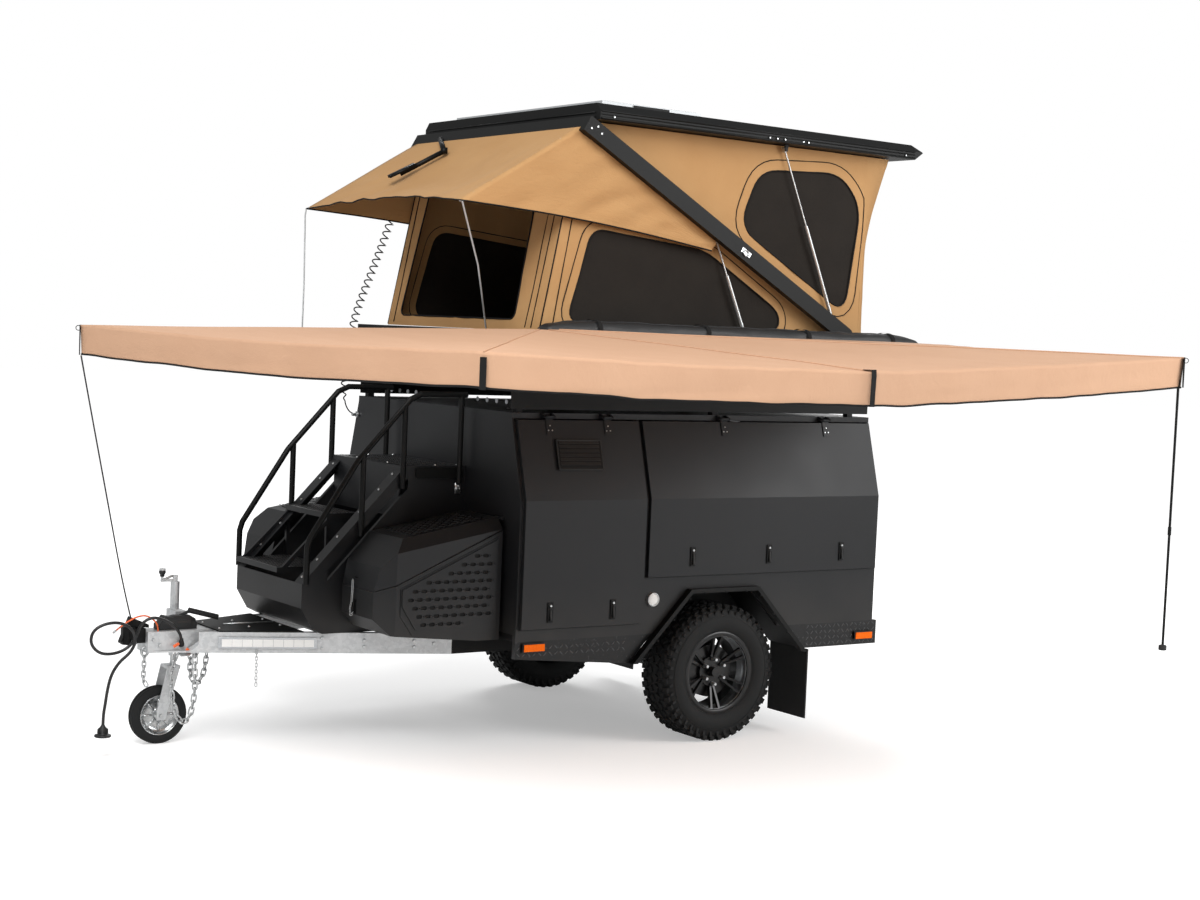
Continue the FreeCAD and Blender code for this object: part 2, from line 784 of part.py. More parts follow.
def side_slab(x0, x1, z0, z1, outer_inset, thickness):
    """A piece of the near side wall, bent along the crease where it crosses it."""
    heights = [z0] + ([crease_height] if z0 < crease_height < z1 else []) + [z1]
    outer = [(-side_y(z, outer_inset), z) for z in heights]
    inner = [(-side_y(z, outer_inset + thickness), z) for z in reversed(heights)]
    return along_x(outer + inner, x0, x1)


# Floor: one insulated panel on the rails, notched for the wheel boxes.
floor_low = rail_top
shell_half = half_width - door_proud
arch_rise = arch_top - arch_foot


def arch_outline(inset, foot):
    """The wheel arch seen from the side, cut off level at a foot height and made smaller by an inset."""
    def leg_x(foot_x, top_x, z):
        return foot_x + (top_x - foot_x) * (z - arch_foot) / arch_rise
    top = arch_top - inset
    side = inset * arch_leg_share
    return [(leg_x(arch_front_foot_x, arch_front_top_x, foot) + side, foot),
            (leg_x(arch_front_foot_x, arch_front_top_x, top) + side, top),
            (leg_x(arch_rear_foot_x, arch_rear_top_x, top) - side, top),
            (leg_x(arch_rear_foot_x, arch_rear_top_x, foot) - side, foot)]


arch_cut = along_y(arch_outline(arch_lip / 2, arch_foot), -half_width - door_proud, -wheel_box_inner_y)
floor = block(cabin_front_x, cabin_rear_x, -shell_half + wall_thickness, shell_half - wall_thickness,
              floor_low, cabin_bottom)
nodes["cabin_floor"] = without(floor, arch_cut, other_side(arch_cut))

# Wheel boxes: the inner arches, open below and outboard.
box_shell = along_y(arch_outline(arch_lip / 2, floor_low), -shell_half + wall_thickness, -wheel_box_inner_y)
box_space = along_y(arch_outline(arch_lip / 2 + plate_steel, floor_low - floor_thickness), -half_width,
                    -wheel_box_inner_y - plate_steel)
nodes["wheel_boxes"] = both_sides(without(box_shell, box_space))

# Side walls: one panel a side, with the two side openings and the wheel arch cut out.
inner_front = cabin_front_x + wall_thickness
inner_rear = cabin_rear_x - wall_thickness
roof_low = cabin_top - wall_thickness
hinge_z = cabin_top - hinge_drop
side_wall = side_slab(cabin_front_x, cabin_rear_x, floor_low, roof_low, door_proud, wall_thickness)
front_opening = (cabin_front_x + door_side_edge, door_split_x - door_post_width / 2,
                 cabin_bottom + door_sill)
rear_opening = (door_split_x + door_post_width / 2, cabin_rear_x - door_side_edge, hatch_bottom)


def side_opening(opening):
    """The cut that a side door or hatch fills, open at the wall's top edge."""
    x0, x1, z0 = opening
    return side_slab(x0, x1, z0, cabin_top, -door_proud, wall_thickness + 3 * door_proud)


wall_near = without(side_wall, side_opening(front_opening), side_opening(rear_opening), arch_cut)
nodes["side_wall_near"] = wall_near
nodes["side_wall_far"] = other_side(wall_near)


# Side doors: slabs that follow the crease and stand proud of the wall, hung from the roof's edge by straps.
def side_door(opening):
    """A door that fills its opening but for the gap round it."""
    x0, x1, z0 = opening
    return side_slab(x0 + panel_gap, x1 - panel_gap, z0 + panel_gap, roof_low - panel_gap, 0,
                     door_thickness)


side_hinge_y = -(side_y(hinge_z, 0) + hinge_outset)
roof_half = side_y(roof_low, door_proud)


def side_hinges(xs):
    """The moving and the fixed leaves of the near side's hinges at these places."""
    pairs = [strap_hinge(vec(x, side_hinge_y, hinge_z), vec(0, -1, 0), vec(1, 0, 0), lean,
                         -side_hinge_y - roof_half, hinge_drop) for x in xs]
    return [leaf for leaf, ears in pairs], [ear for leaf, ears in pairs for ear in ears]


front_leaves, front_ears = side_hinges(front_hinge_xs)
rear_leaves, rear_ears = side_hinges(rear_hinge_xs)
vent_cover = side_slab(vent_front_x, vent_rear_x, vent_bottom, vent_top, -vent_proud, 2 * vent_proud)
front_door = side_door(front_opening).fuse(front_leaves + [vent_cover])
rear_hatch = side_door(rear_opening).fuse(rear_leaves)
nodes["front_door_near"] = front_door
nodes["front_door_far"] = other_side(front_door)
nodes["rear_hatch_near"] = rear_hatch
nodes["rear_hatch_far"] = other_side(rear_hatch)


# End walls and roof: the end walls stand inside the side walls and the roof lies on all four.
def section_outline(inset, low, high):
    """The cabin's cross-section, less an inset."""
    near = [(-side_y(z, inset), z) for z in (low, crease_height, high)]
    return near + [(-y, z) for y, z in reversed(near)]


end_inset = door_proud + wall_thickness
lid_hinge_z = lid_rear_height - hinge_radius
lid_hinge_x = (box_rear_x + cabin_front_x) / 2
half_strap = hinge_strap_width / 2
ear_offsets = (-half_strap - running_fit - hinge_ear_width, half_strap + running_fit)
lid_ears = []
lid_knuckles = []
for y in [side * hinge_y for side in (-1, 1) for hinge_y in lid_hinge_ys]:
    lid_ears += [along_y([(cabin_front_x, lid_hinge_z - hinge_radius),
                          (cabin_front_x, lid_hinge_z + hinge_radius),
    (lid_hinge_x, lid_hinge_z + hinge_radius),
                          (lid_hinge_x - hinge_radius, lid_hinge_z),
                          (lid_hinge_x, lid_hinge_z - hinge_radius)], y + start,
                          y + start + hinge_ear_width)
                 for start in ear_offsets]
    knuckle = prism(vec(lid_hinge_x, y - half_strap, lid_hinge_z),
                    vec(lid_hinge_x, y + half_strap, lid_hinge_z), hinge_radius, knuckle_sides)
    lid_knuckles.append(knuckle.fuse(block(box_rear_x - pivot_gap, lid_hinge_x, y - half_strap,
                                           y + half_strap, lid_hinge_z, lid_rear_height)))
front_wall = along_x(section_outline(end_inset, cabin_bottom, roof_low), cabin_front_x, inner_front)
nodes["front_wall"] = front_wall.fuse(lid_ears)
tail_opening_low = cabin_bottom + tail_sill
tail_opening_high = roof_low - tail_edge
tail_opening = along_x(section_outline(end_inset + tail_edge, tail_opening_low, tail_opening_high),
                       inner_rear, cabin_rear_x)
tail_hinge_x = cabin_rear_x + door_proud + hinge_outset
tail_hinge_z = tail_opening_high + hinge_radius
tail_pairs = [strap_hinge(vec(tail_hinge_x, y, tail_hinge_z), vec(1, 0, 0), vec(0, 1, 0), 0,
                          door_proud + hinge_outset, hinge_ear_width)
              for y in (-tail_hinge_y, tail_hinge_y)]
rear_wall = without(along_x(section_outline(end_inset, cabin_bottom, roof_low), inner_rear, cabin_rear_x),
                    tail_opening)
nodes["rear_wall"] = rear_wall.fuse([ear for leaf, ears in tail_pairs for ear in ears])
tail_door = along_x(section_outline(end_inset + tail_edge + panel_gap, tail_opening_low + panel_gap,
                                    tail_hinge_z - hinge_radius - panel_gap),
                    inner_rear, cabin_rear_x + door_proud)
nodes["tail_door"] = tail_door.fuse([leaf for leaf, ears in tail_pairs])
roof = block(cabin_front_x, cabin_rear_x, -roof_half, roof_half, roof_low, cabin_top)
side_ears = front_ears + rear_ears
nodes["roof_panel"] = roof.fuse(side_ears + [other_side(ear) for ear in side_ears])
bulkhead_x = door_split_x
nodes["bulkhead"] = along_x(section_outline(end_inset, cabin_bottom, roof_low),
                            bulkhead_x - wall_thickness / 2, bulkhead_x + wall_thickness / 2)

# Arch flares: a sloped lip round each wheel arch, standing out from the wall.
flare = without(along_y(arch_outline(0, arch_foot), -shell_half - arch_lip_outset, -shell_half),
                along_y(arch_outline(arch_lip / 2, arch_foot - arch_lip), -half_width - arch_lip_outset,
                        -shell_half + plate_steel))
nodes["arch_flares"] = both_sides(flare)

# Mud flaps: rubber sheets hung across behind each wheel.
flap_x = arch_rear_foot_x + soft_gap
flap = block(flap_x, flap_x + flap_thickness, -shell_half - arch_lip_outset, -wheel_box_inner_y,
             flap_bottom, skirt_rear_bottom)
nodes["mud_flaps"] = both_sides(flap)

# Tread-plate skirts: folded strips under the sides, ahead of and behind the arches.
arch_front_skirt_x = arch_front_foot_x - arch_lip / 2
arch_front_floor_x = arch_outline(0, floor_low)[0][0] - arch_lip / 2
skirt_front = along_y([(cabin_front_x, skirt_front_bottom), (arch_front_skirt_x, arch_foot),
                       (arch_front_floor_x, floor_low), (cabin_front_x, floor_low)],
                      -shell_half, -shell_half + wall_thickness)
skirt_rear = block(flap_x + flap_thickness + soft_gap, skirt_tail_x, -shell_half,
                   -shell_half + wall_thickness, skirt_rear_bottom, floor_low)
nodes["tread_skirts"] = both_sides(skirt_front, skirt_rear)

# Lamps: a round one on each side wall, reflectors on the skirts and a strip lamp on each drawbar rail.
side_lamp = across(side_lamp_x, side_lamp_height, -shell_half - side_lamp_proud, -shell_half,
                   side_lamp_radius)


def reflector(x, z):
    """A bar reflector on the skirt."""
    return block(x - reflector_length / 2, x + reflector_length / 2, -shell_half - reflector_thickness,
                 -shell_half, z - reflector_height / 2, z + reflector_height / 2)


lamp_rear_x = drawbar_lamp_front_x + drawbar_lamp_length
lamp_low = rail_bottom + (rail_height - drawbar_lamp_height) / 2
lamp_front_y = draw_rail_y(drawbar_lamp_front_x, nose_outer, rail_outer)
lamp_rear_y = draw_rail_y(lamp_rear_x, nose_outer, rail_outer)
strip_lamp = along_z([(drawbar_lamp_front_x, -lamp_front_y), (lamp_rear_x, -lamp_rear_y),
                      (lamp_rear_x, -lamp_rear_y - drawbar_lamp_thickness),
                      (drawbar_lamp_front_x, -lamp_front_y - drawbar_lamp_thickness)], lamp_low,
                      lamp_low + drawbar_lamp_height)
nodes["lamps"] = both_sides(side_lamp, reflector(front_reflector_x, front_reflector_z),
                            reflector(rear_reflector_x, rear_reflector_z), strip_lamp)


# Tool boxes: open troughs with a toed-in front and a cut corner, each closed by a hinged lid.
def corner_wedge(inset):
    """What is cut off upright at the front outer corner, for a wall set in by an inset."""
    shift_x = corner_wall_share * inset
    step_x = (box_corner_x - box_front_x) / 2
    step_y = (box_outer_y - box_corner_y) / 2
    inner = (box_front_x - step_x + shift_x, -box_corner_y + step_y)
    outer = (box_corner_x + step_x + shift_x, -box_outer_y - step_y)
    return along_z([inner, outer, (inner[0] - shift_x, outer[1])], rail_bottom, cabin_top)


def box_profile(inset):
    """The trough seen from the side."""
    return [(box_front_x + inset, box_chin_height), (box_toe_x + inset, box_toe_height + inset),
            (rail_front_x, rail_top + inset),
            (box_rear_x - inset, rail_top + inset), (box_rear_x - inset, box_joint_rear),
            (box_front_x + inset, box_joint_front)]


def box_solid(profile, inset):
    """A box of this profile between the two side walls, with its corner cut, all set in by an inset."""
    return without(along_y(profile(inset), -box_outer_y + inset, -box_inner_y - inset), corner_wedge(inset))


def joint_z(x):
    """The height of the line between trough and lid."""
    along_share = (x - box_front_x) / (box_rear_x - box_front_x)
    return box_joint_front + (box_joint_rear - box_joint_front) * along_share


panel_front_x = box_corner_x + box_panel_edge
panel_rear_x = box_rear_x - box_panel_edge
side_panel = along_y([(panel_front_x, box_chin_height + box_panel_edge),
                      (panel_front_x, joint_z(panel_front_x) - box_panel_edge),
(panel_rear_x, joint_z(panel_rear_x) - box_panel_edge),
                      (panel_rear_x, rail_top + 2 * box_panel_edge),
                      (rail_front_x, rail_top + 2 * box_panel_edge),
                      (panel_front_x + 3 * box_panel_edge, box_toe_height)],
                     -box_outer_y - box_panel_thickness, -box_outer_y)
trough = without(box_solid(box_profile, 0), box_solid(box_profile, plate_steel))
nodes["tool_boxes"] = both_sides(trough.fuse(side_panel))


def lid_profile(inset):
    """The lid seen from the side, from the joint line up."""
    return [(box_front_x + inset, box_joint_front + panel_gap),
            (lid_shoulder_x + inset, lid_shoulder_height), (lid_brow_x + inset, lid_brow_height - inset),
            (box_rear_x - inset, lid_rear_height - inset), (box_rear_x - inset, box_joint_rear + panel_gap)]


def lid_bevel(inset):
    """What is cut off along the lid's outer top edge, for a wall set in by an inset."""
    run = vec(box_rear_x - lid_brow_x, 0, lid_rear_height - lid_brow_height)
    start = vec(lid_brow_x, -box_outer_y, lid_brow_height) - run
    reach = 2 * lid_side_bevel
    lower = start + vec(0, -lid_side_bevel, -reach - corner_wall_share * inset)
    upper = start + vec(0, reach + corner_wall_share * inset, lid_side_bevel)
    return face_of([lower, upper, vec(start.x, lower.y, upper.z)]).extrude(run * 3)


lid_fall = (lid_rear_height - lid_brow_height) / (box_rear_x - lid_brow_x)
pad_front_x = lid_brow_x + lid_pad_edge
pad_rear_x = box_rear_x - lid_pad_edge
pad_outline = [(x, lid_brow_height + (x - lid_brow_x) * lid_fall + rise)
               for x, rise in ((pad_front_x, 0), (pad_rear_x, 0), (pad_rear_x, lid_pad_thickness),
                               (pad_front_x, lid_pad_thickness))]
lid_pad = along_y(pad_outline, -box_outer_y + 2 * lid_side_bevel, -box_inner_y - lid_pad_edge)
lid = without(without(box_solid(lid_profile, 0), lid_bevel(0)),
              without(box_solid(lid_profile, plate_steel), lid_bevel(plate_steel)))
lid = lid.fuse([lid_pad] + lid_knuckles[:len(lid_hinge_ys)])
nodes["box_lid_near"] = lid
nodes["box_lid_far"] = other_side(lid)

# Stair: two closed fairings with folded-in top bands and a slot, the fascia, two treads on bars and a platform.
stringer_inner = stair_half_width - stringer_thickness
stair_slope = (stair_head_height - stair_brow_height) / (stair_head_x - stair_front_x)
stair_heel_x = stair_toe_x + (stair_toe_height - rail_top) * 2


def stair_top(x):
    """The height of the fairing's sloped top edge."""
    return stair_brow_height + (x - stair_front_x) * stair_slope


fairing_outline = [(stair_front_x, stair_chin_height), (stair_front_x, stair_brow_height),
                   (stair_head_x, stair_head_height), (cabin_front_x, platform_height),
                   (cabin_front_x, rail_top), (stair_heel_x, rail_top), (stair_toe_x, stair_toe_height)]
slot_outline = [(x, stair_top(x) - drop) for x, drop in ((slot_front_x, slot_drop),
                                                         (slot_rear_x, slot_drop),
(slot_rear_x, slot_drop + slot_depth), (slot_front_x, slot_drop + slot_depth))]
fairing = without(along_y(fairing_outline, -stair_half_width, -stringer_inner),
                  along_y(slot_outline, -stair_half_width, -stringer_inner))
band = along_y([(stair_front_x, stair_brow_height), (stair_head_x, stair_head_height),
                (stair_head_x, stair_head_height - plate_steel),
(stair_front_x, stair_brow_height - plate_steel)],
               -stair_half_width, -stair_half_width + stringer_band)
fascia = along_y([(stair_front_x, stair_chin_height), (stair_front_x, stair_brow_height),
                  (stair_front_x + plate_steel, stair_brow_height),
(stair_front_x + plate_steel, stair_chin_height),
                  (stair_toe_x + plate_steel, stair_toe_height), (stair_heel_x + plate_steel, rail_top),
                  (stair_heel_x, rail_top), (stair_toe_x, stair_toe_height)],
                 -stair_half_width, stair_half_width)
high_tread_x = stair_front_x + (tread_high_height - tread_low_height) / stair_slope
low_tread = block(stair_front_x - tread_nose, high_tread_x + step_bar, tread_near_y, stringer_inner,
                  tread_low_height - tread_thickness, tread_low_height)
high_tread = block(high_tread_x, high_tread_x + tread_depth, tread_near_y, stringer_inner,
                   tread_high_height - tread_thickness, tread_high_height)
bar_lift = vec(0, 0, step_bar / 2)
link_low = vec(stair_front_x + step_bar, 0, tread_low_height) - bar_lift
link_high = vec(high_tread_x + step_bar / 2, 0, tread_high_height - tread_thickness) - bar_lift
links = [square_bar(link_low + vec(0, y, 0), link_high + vec(0, y, 0),
                    step_bar) for y in (tread_near_y + step_bar / 2, stringer_inner - step_bar / 2)]
posts = [block(high_tread_x, high_tread_x + step_bar, y, y + step_bar, tread_low_height - tread_thickness,
               tread_high_height) for y in (tread_near_y, stringer_inner - step_bar)]
platform = block(stair_head_x, cabin_front_x, -stair_half_width, stair_half_width,
                 platform_height - tread_thickness, platform_height)
head_riser = block(stair_head_x, stair_head_x + plate_steel, -stringer_inner, stringer_inner,
                   tread_high_height, platform_height - tread_thickness)
nodes["front_stair"] = joined(fairing, other_side(fairing), band, other_side(band), fascia, low_tread,
                              high_tread, platform, head_riser, *links, *posts)

# Handrails: bent tubes up both sides of the stair, each on three posts.
rail_y = -(stair_half_width + rail_tube_radius)
rail_slope = (rail_top_height - rail_elbow_height) / (rail_bend_x - rail_elbow_x)
rail_end_x = cabin_front_x - rail_tube_radius
handrail = tube_along([vec(rail_foot_x, rail_y, stair_brow_height),
                       vec(rail_foot_x, rail_y, rail_knee_height),
vec(rail_elbow_x, rail_y, rail_elbow_height),
                       vec(rail_bend_x, rail_y, rail_top_height),
                       vec(rail_end_x, rail_y, rail_top_height)], rail_tube_radius, rail_bend_radius)
elbow_post_x = rail_elbow_x + 2 * rail_tube_radius
elbow_post = upright(elbow_post_x, rail_y, stair_top(elbow_post_x) - stringer_band,
                     rail_elbow_height + (elbow_post_x - rail_elbow_x) * rail_slope, rail_tube_radius)
head_post = upright(stair_head_x, rail_y, stair_head_height - stringer_band,
                    rail_elbow_height + (stair_head_x - rail_elbow_x) * rail_slope, rail_tube_radius)
end_post_x = rail_end_x - 2 * rail_tube_radius
end_post = upright(end_post_x, rail_y, platform_height - stringer_band, rail_top_height, rail_tube_radius)
nodes["handrails"] = both_sides(handrail.fuse([elbow_post, head_post, end_post]))

# Roof rack: two channel rails on feet, and crossbars under the tent base.
rack_bottom = cabin_top + rack_foot_height
rack_top = rack_bottom + rack_height
base_bottom = rack_top + rack_bar_height
rail_in_y = rack_half_width - rack_rail_width
rack_section = [(-rack_half_width, rack_bottom), (-rack_half_width, rack_top), (-rail_in_y, rack_top),
                (-rail_in_y, rack_top - rack_rail_wall),
(-rack_half_width + rack_rail_wall, rack_top - rack_rail_wall),
                (-rack_half_width + rack_rail_wall, rack_bottom + rack_rail_wall),
                (-rail_in_y, rack_bottom + rack_rail_wall), (-rail_in_y, rack_bottom)]
rack_rail = along_x(rack_section, cabin_front_x, cabin_rear_x)
rack_feet = [block(x, x + rack_rail_width, -rack_half_width, -rail_in_y, cabin_top,
                   rack_bottom) for x in rack_bar_xs]
rack_bars = [block(x, x + rack_rail_width, -rack_half_width, rack_half_width, rack_top,
                   base_bottom) for x in rack_bar_xs]
nodes["roof_rack"] = joined(rack_rail, other_side(rack_rail), *rack_feet,
                            *[other_side(foot) for foot in rack_feet], *rack_bars)

# Tent base: a shallow tray with the sleeping platform in it, and ears at the back for the folding frame.
base_top = base_bottom + base_height
base_half_width = shell_half_width + base_overhang
beam_outer_y = shell_half_width
strut_y = beam_outer_y - strut_inset
awning_hub_y = -(base_half_width + bag_bracket_reach + bag_width)
frame_hinge_height = base_top + frame_hinge_rise
lower_strut_base_height = base_top + lower_strut_base_rise
base = block(base_front_x, base_rear_x, -base_half_width, base_half_width, base_bottom, base_top)
beam_inner_y = beam_outer_y - beam_width
ear_half = fold_pin_radius + plate_steel
ear_inner_y = beam_inner_y - moving_clearance
ear = along_y([(frame_hinge_x - 2 * ear_half, base_top),
               (frame_hinge_x - ear_half, frame_hinge_height + ear_half),
(frame_hinge_x + ear_half, frame_hinge_height + ear_half),
               (frame_hinge_x + 2 * ear_half, base_top)], -ear_inner_y, -ear_inner_y + plate_steel)
fold_pin = across(frame_hinge_x, frame_hinge_height, -beam_outer_y, -ear_inner_y, fold_pin_radius)
eye_outer_y = strut_y + strut_tube_radius
eye_inner_y = strut_y - strut_tube_radius
ear_near_y = eye_outer_y + pivot_gap


def strut_ear(x, z, root_z, y0):
    """A pointed ear for a strut's eye, from the eye's pin to the face that carries it."""
    reach = strut_eye_radius if z > root_z else -strut_eye_radius
    return along_y([(x - strut_eye_radius, root_z), (x - strut_eye_radius / 2, z + reach),
                    (x + strut_eye_radius / 2, z + reach), (x + strut_eye_radius, root_z)], y0,
    y0 + plate_steel)


base_ear = strut_ear(lower_strut_base_x, lower_strut_base_height, base_top, -ear_near_y - plate_steel)
strut_pin = across(lower_strut_base_x, lower_strut_base_height, -ear_near_y, -eye_inner_y, strut_pin_radius)
base_side = [ear, fold_pin, base_ear, strut_pin]
hub_z = base_top + awning_hub_rise
bag_top = hub_z + bag_over_hub
bag_bottom = bag_top - bag_height
bag_outer_y = awning_hub_y + soft_gap
bag_inner_y = bag_outer_y + bag_width
bag_brackets = [block(x - bag_bracket_width / 2, x + bag_bracket_width / 2, bag_inner_y, -base_half_width,
                      bag_bottom, base_top)
                for x in (bag_front_x + bag_bracket_width, (bag_front_x + base_rear_x) / 2,
                          base_rear_x - bag_bracket_width)]
nodes["tent_base"] = base.fuse(base_side + [other_side(piece) for piece in base_side] + bag_brackets)

# Folding frame: two side beams from the rear pins up to a cross beam at the front, drawn flat, then raised.
raise_axis = vec(0, 1, 0)
half_beam = beam_depth / 2
beam_front_x = frame_hinge_x - frame_length
hinge_point = vec(frame_hinge_x, 0, frame_hinge_height)


def raised(x, z):
    """Where a point of the flat frame comes when the frame is up."""
    point = FreeCAD.Rotation(raise_axis, frame_fold_angle).multVec(vec(x, 0, z) - hinge_point) + hinge_point
    return point.x, point.z


upper_strut_beam_x, upper_strut_beam_height = raised(frame_hinge_x - upper_strut_beam_run,
                                                     frame_hinge_height + upper_strut_beam_rise)
lower_strut_beam_x, lower_strut_beam_height = raised(frame_hinge_x - lower_strut_beam_run,
                                                     frame_hinge_height + lower_strut_beam_rise)
side_beam = block(beam_front_x - half_beam, frame_hinge_x, -beam_outer_y, -beam_inner_y,
                  frame_hinge_height - half_beam, frame_hinge_height + half_beam)
beam_end = prism(vec(frame_hinge_x, -beam_outer_y, frame_hinge_height),
                 vec(frame_hinge_x, -beam_inner_y, frame_hinge_height), half_beam, plug_sides)
side_beam = side_beam.fuse(beam_end)
cross_beam = block(beam_front_x - half_beam, beam_front_x + half_beam, -beam_outer_y, beam_outer_y,
                   frame_hinge_height - half_beam, frame_hinge_height + half_beam)
pin_hole = across(frame_hinge_x, frame_hinge_height, -beam_outer_y, beam_outer_y,
                  fold_pin_radius + running_fit)
beam_top = frame_hinge_height + half_beam
shell_pin_z = frame_hinge_height + shell_pivot_offset
shell_hinge_y = shell_half_width - shell_hinge_inset
shell_ears = [along_y([(beam_front_x - 2 * hinge_radius, beam_top),
                       (beam_front_x - hinge_radius, shell_pin_z + hinge_radius),
(beam_front_x + hinge_radius, shell_pin_z + hinge_radius),
                       (beam_front_x + 2 * hinge_radius, beam_top)], y + start, y + start + hinge_ear_width)
              for y in (-shell_hinge_y, shell_hinge_y) for start in ear_offsets]
frame_up = without(joined(side_beam, other_side(side_beam), cross_beam), pin_hole).fuse(shell_ears)
frame_up.rotate(hinge_point, raise_axis, frame_fold_angle)
tube_pin = across(upper_strut_beam_x, upper_strut_beam_height, -beam_inner_y, -eye_inner_y,
                  strut_pin_radius)
rod_pin = across(lower_strut_beam_x, lower_strut_beam_height, -beam_inner_y, -ear_near_y, strut_pin_radius)
nodes["tent_frame"] = frame_up.fuse([tube_pin, other_side(tube_pin), rod_pin, other_side(rod_pin)])

# Top shell: a shallow lid with bevelled sides, hinged at the frame's front and drooping a little to the rear.
fold = math.radians(frame_fold_angle)
pivot_x, pivot_z2 = raised(beam_front_x, shell_pin_z)
shell_front_x = pivot_x + hinge_radius + pivot_gap + sheet_steel
shell_top = pivot_z2 + shell_thickness
shell_outline = [(shell_front_x, pivot_z2), (shell_front_x, shell_top), (pivot_x + shell_length, shell_top),
                 (pivot_x + shell_length + shell_tip, pivot_z2 + shell_thickness / 2),
                 (pivot_x + shell_length, pivot_z2)]
shell_section = [(-shell_half_width, pivot_z2), (-shell_half_width, shell_top - shell_side_bevel),
                 (-shell_half_width + shell_side_bevel, shell_top),
                 (shell_half_width - shell_side_bevel, shell_top),
                 (shell_half_width, shell_top - shell_side_bevel), (shell_half_width, pivot_z2)]
shell = along_y(shell_outline, -shell_half_width,
                shell_half_width).common(along_x(shell_section, shell_front_x,
                                                 pivot_x + shell_length + shell_tip))
shell_point = vec(pivot_x, 0, pivot_z2)
shell_knuckles = [prism(vec(pivot_x, y - half_strap, pivot_z2), vec(pivot_x, y + half_strap, pivot_z2),
                        hinge_radius, knuckle_sides).fuse(
    block(pivot_x, shell_front_x + plate_steel, y - half_strap, y + half_strap, pivot_z2,
          pivot_z2 + hinge_radius)) for y in (-shell_hinge_y, shell_hinge_y)]
upper_eye = vec(pivot_x + upper_strut_shell_run, 0, pivot_z2 - upper_strut_shell_drop)
rod_ear = strut_ear(upper_eye.x, upper_eye.z, pivot_z2, -ear_near_y - plate_steel)
shell = shell.fuse(shell_knuckles + [rod_ear, other_side(rod_ear)])
shell.rotate(shell_point, raise_axis, shell_droop_angle)
nodes["tent_shell"] = shell
upper_eye = FreeCAD.Rotation(raise_axis, shell_droop_angle).multVec(upper_eye - shell_point) + shell_point
upper_strut_shell_x = upper_eye.x
upper_strut_shell_height = upper_eye.z
solar_front_x = pivot_x + solar_front_run
solar_half_width = shell_half_width - solar_side_margin
panel = block(solar_front_x, solar_front_x + solar_length, -solar_half_width, solar_half_width, shell_top,
              shell_top + solar_thickness)
panel.rotate(shell_point, raise_axis, shell_droop_angle)
nodes["solar_panel"] = panel


# Gas struts: the lower pair lifts the frame off the base and the upper pair lifts the shell off the frame.
def strut_pair(low_x, low_z, high_x, high_z):
    """The tubes and the rods of one pair of struts, one strut at each side."""
    low = vec(low_x, -strut_y, low_z)
    high = vec(high_x, -strut_y, high_z)
    run = high - low
    mouth = low + run * strut_mouth_share
    bore = rod(low + run * strut_bore_share, mouth, strut_rod_radius + running_fit)
    eye_bore = across(low_x, low_z, -eye_outer_y, -eye_inner_y, strut_pin_radius + running_fit)
    eye_reach = run * (strut_eye_radius / run.Length)
    tube_eye = square_bar(low - eye_reach, low + eye_reach, 2 * strut_tube_radius)
    rod_eye = square_bar(high - eye_reach, high + eye_reach, 2 * strut_tube_radius)
    tube_part = without(rod(low, mouth, strut_tube_radius).fuse(tube_eye), bore, eye_bore)
    return both_sides(tube_part), both_sides(rod(low + run * strut_rod_share, high,
                                                 strut_rod_radius).fuse(rod_eye))


nodes["upper_strut_tubes"], nodes["upper_strut_rods"] = strut_pair(upper_strut_beam_x,
    upper_strut_beam_height, upper_strut_shell_x, upper_strut_shell_height)
nodes["lower_strut_tubes"], nodes["lower_strut_rods"] = strut_pair(lower_strut_base_x,
    lower_strut_base_height, lower_strut_beam_x, lower_strut_beam_height)

# Tent cloth: walls and ceiling, one sewn skin, with the side windows and the front door cut out.
beam_back_x = beam_front_x + half_beam + soft_gap
fabric_half_width = beam_outer_y - fabric_inset
fabric_rear_top_x = pivot_x + shell_length - fabric_rear_inset
fabric_rear_waist_x = fabric_rear_top_x - fabric_waist_inset
beam_under = frame_hinge_height - half_beam - soft_gap
front_top = raised(beam_front_x, beam_under)
beam_heel = raised(beam_back_x, beam_under)
beam_crown = raised(beam_back_x, frame_hinge_height + half_beam)
ceiling_slope = math.tan(math.radians(shell_droop_angle))
ceiling_front = pivot_z2 - (beam_crown[0] - pivot_x) * ceiling_slope - soft_gap
ceiling_rear = pivot_z2 - (fabric_rear_top_x - pivot_x) * ceiling_slope - soft_gap
fabric_rear_waist_height = base_top + fabric_rear_waist_rise


def cloth_profile(inset):
    """The tent seen from the side: up the front, behind the cross beam, back under the shell and down the rear."""
    return [(fabric_foot_x + inset, base_top), (front_top[0] + inset, front_top[1]),
            (beam_heel[0] + inset, beam_heel[1]), (beam_crown[0] + inset, beam_crown[1]),
            (beam_crown[0] + inset, ceiling_front - inset),
            (fabric_rear_top_x - inset, ceiling_rear - inset),
            (fabric_rear_waist_x - inset, fabric_rear_waist_height),
            (fabric_rear_waist_x - inset, base_top)]


side_in_y = fabric_half_width - fabric_thickness
window_outlines = [[(frame_hinge_x - run_share * frame_length,
                     base_top + rise_share * frame_length) for run_share, rise_share in window]
                   for window in (upper_window_shares, lower_window_shares)]
window_cuts = [along_y(outline, -fabric_half_width, fabric_half_width) for outline in window_outlines]
door_head_z = front_top[1] - tent_door_head_drop
door_cut = block(fabric_foot_x - fabric_thickness, frame_hinge_x - frame_length / 2, tent_door_near_y,
                 tent_door_far_y, base_top + tent_door_sill, door_head_z)
nodes["tent_cloth"] = without(along_y(cloth_profile(0), -fabric_half_width, fabric_half_width),
                              along_y(cloth_profile(fabric_thickness), -side_in_y, side_in_y), door_cut,
*window_cuts)

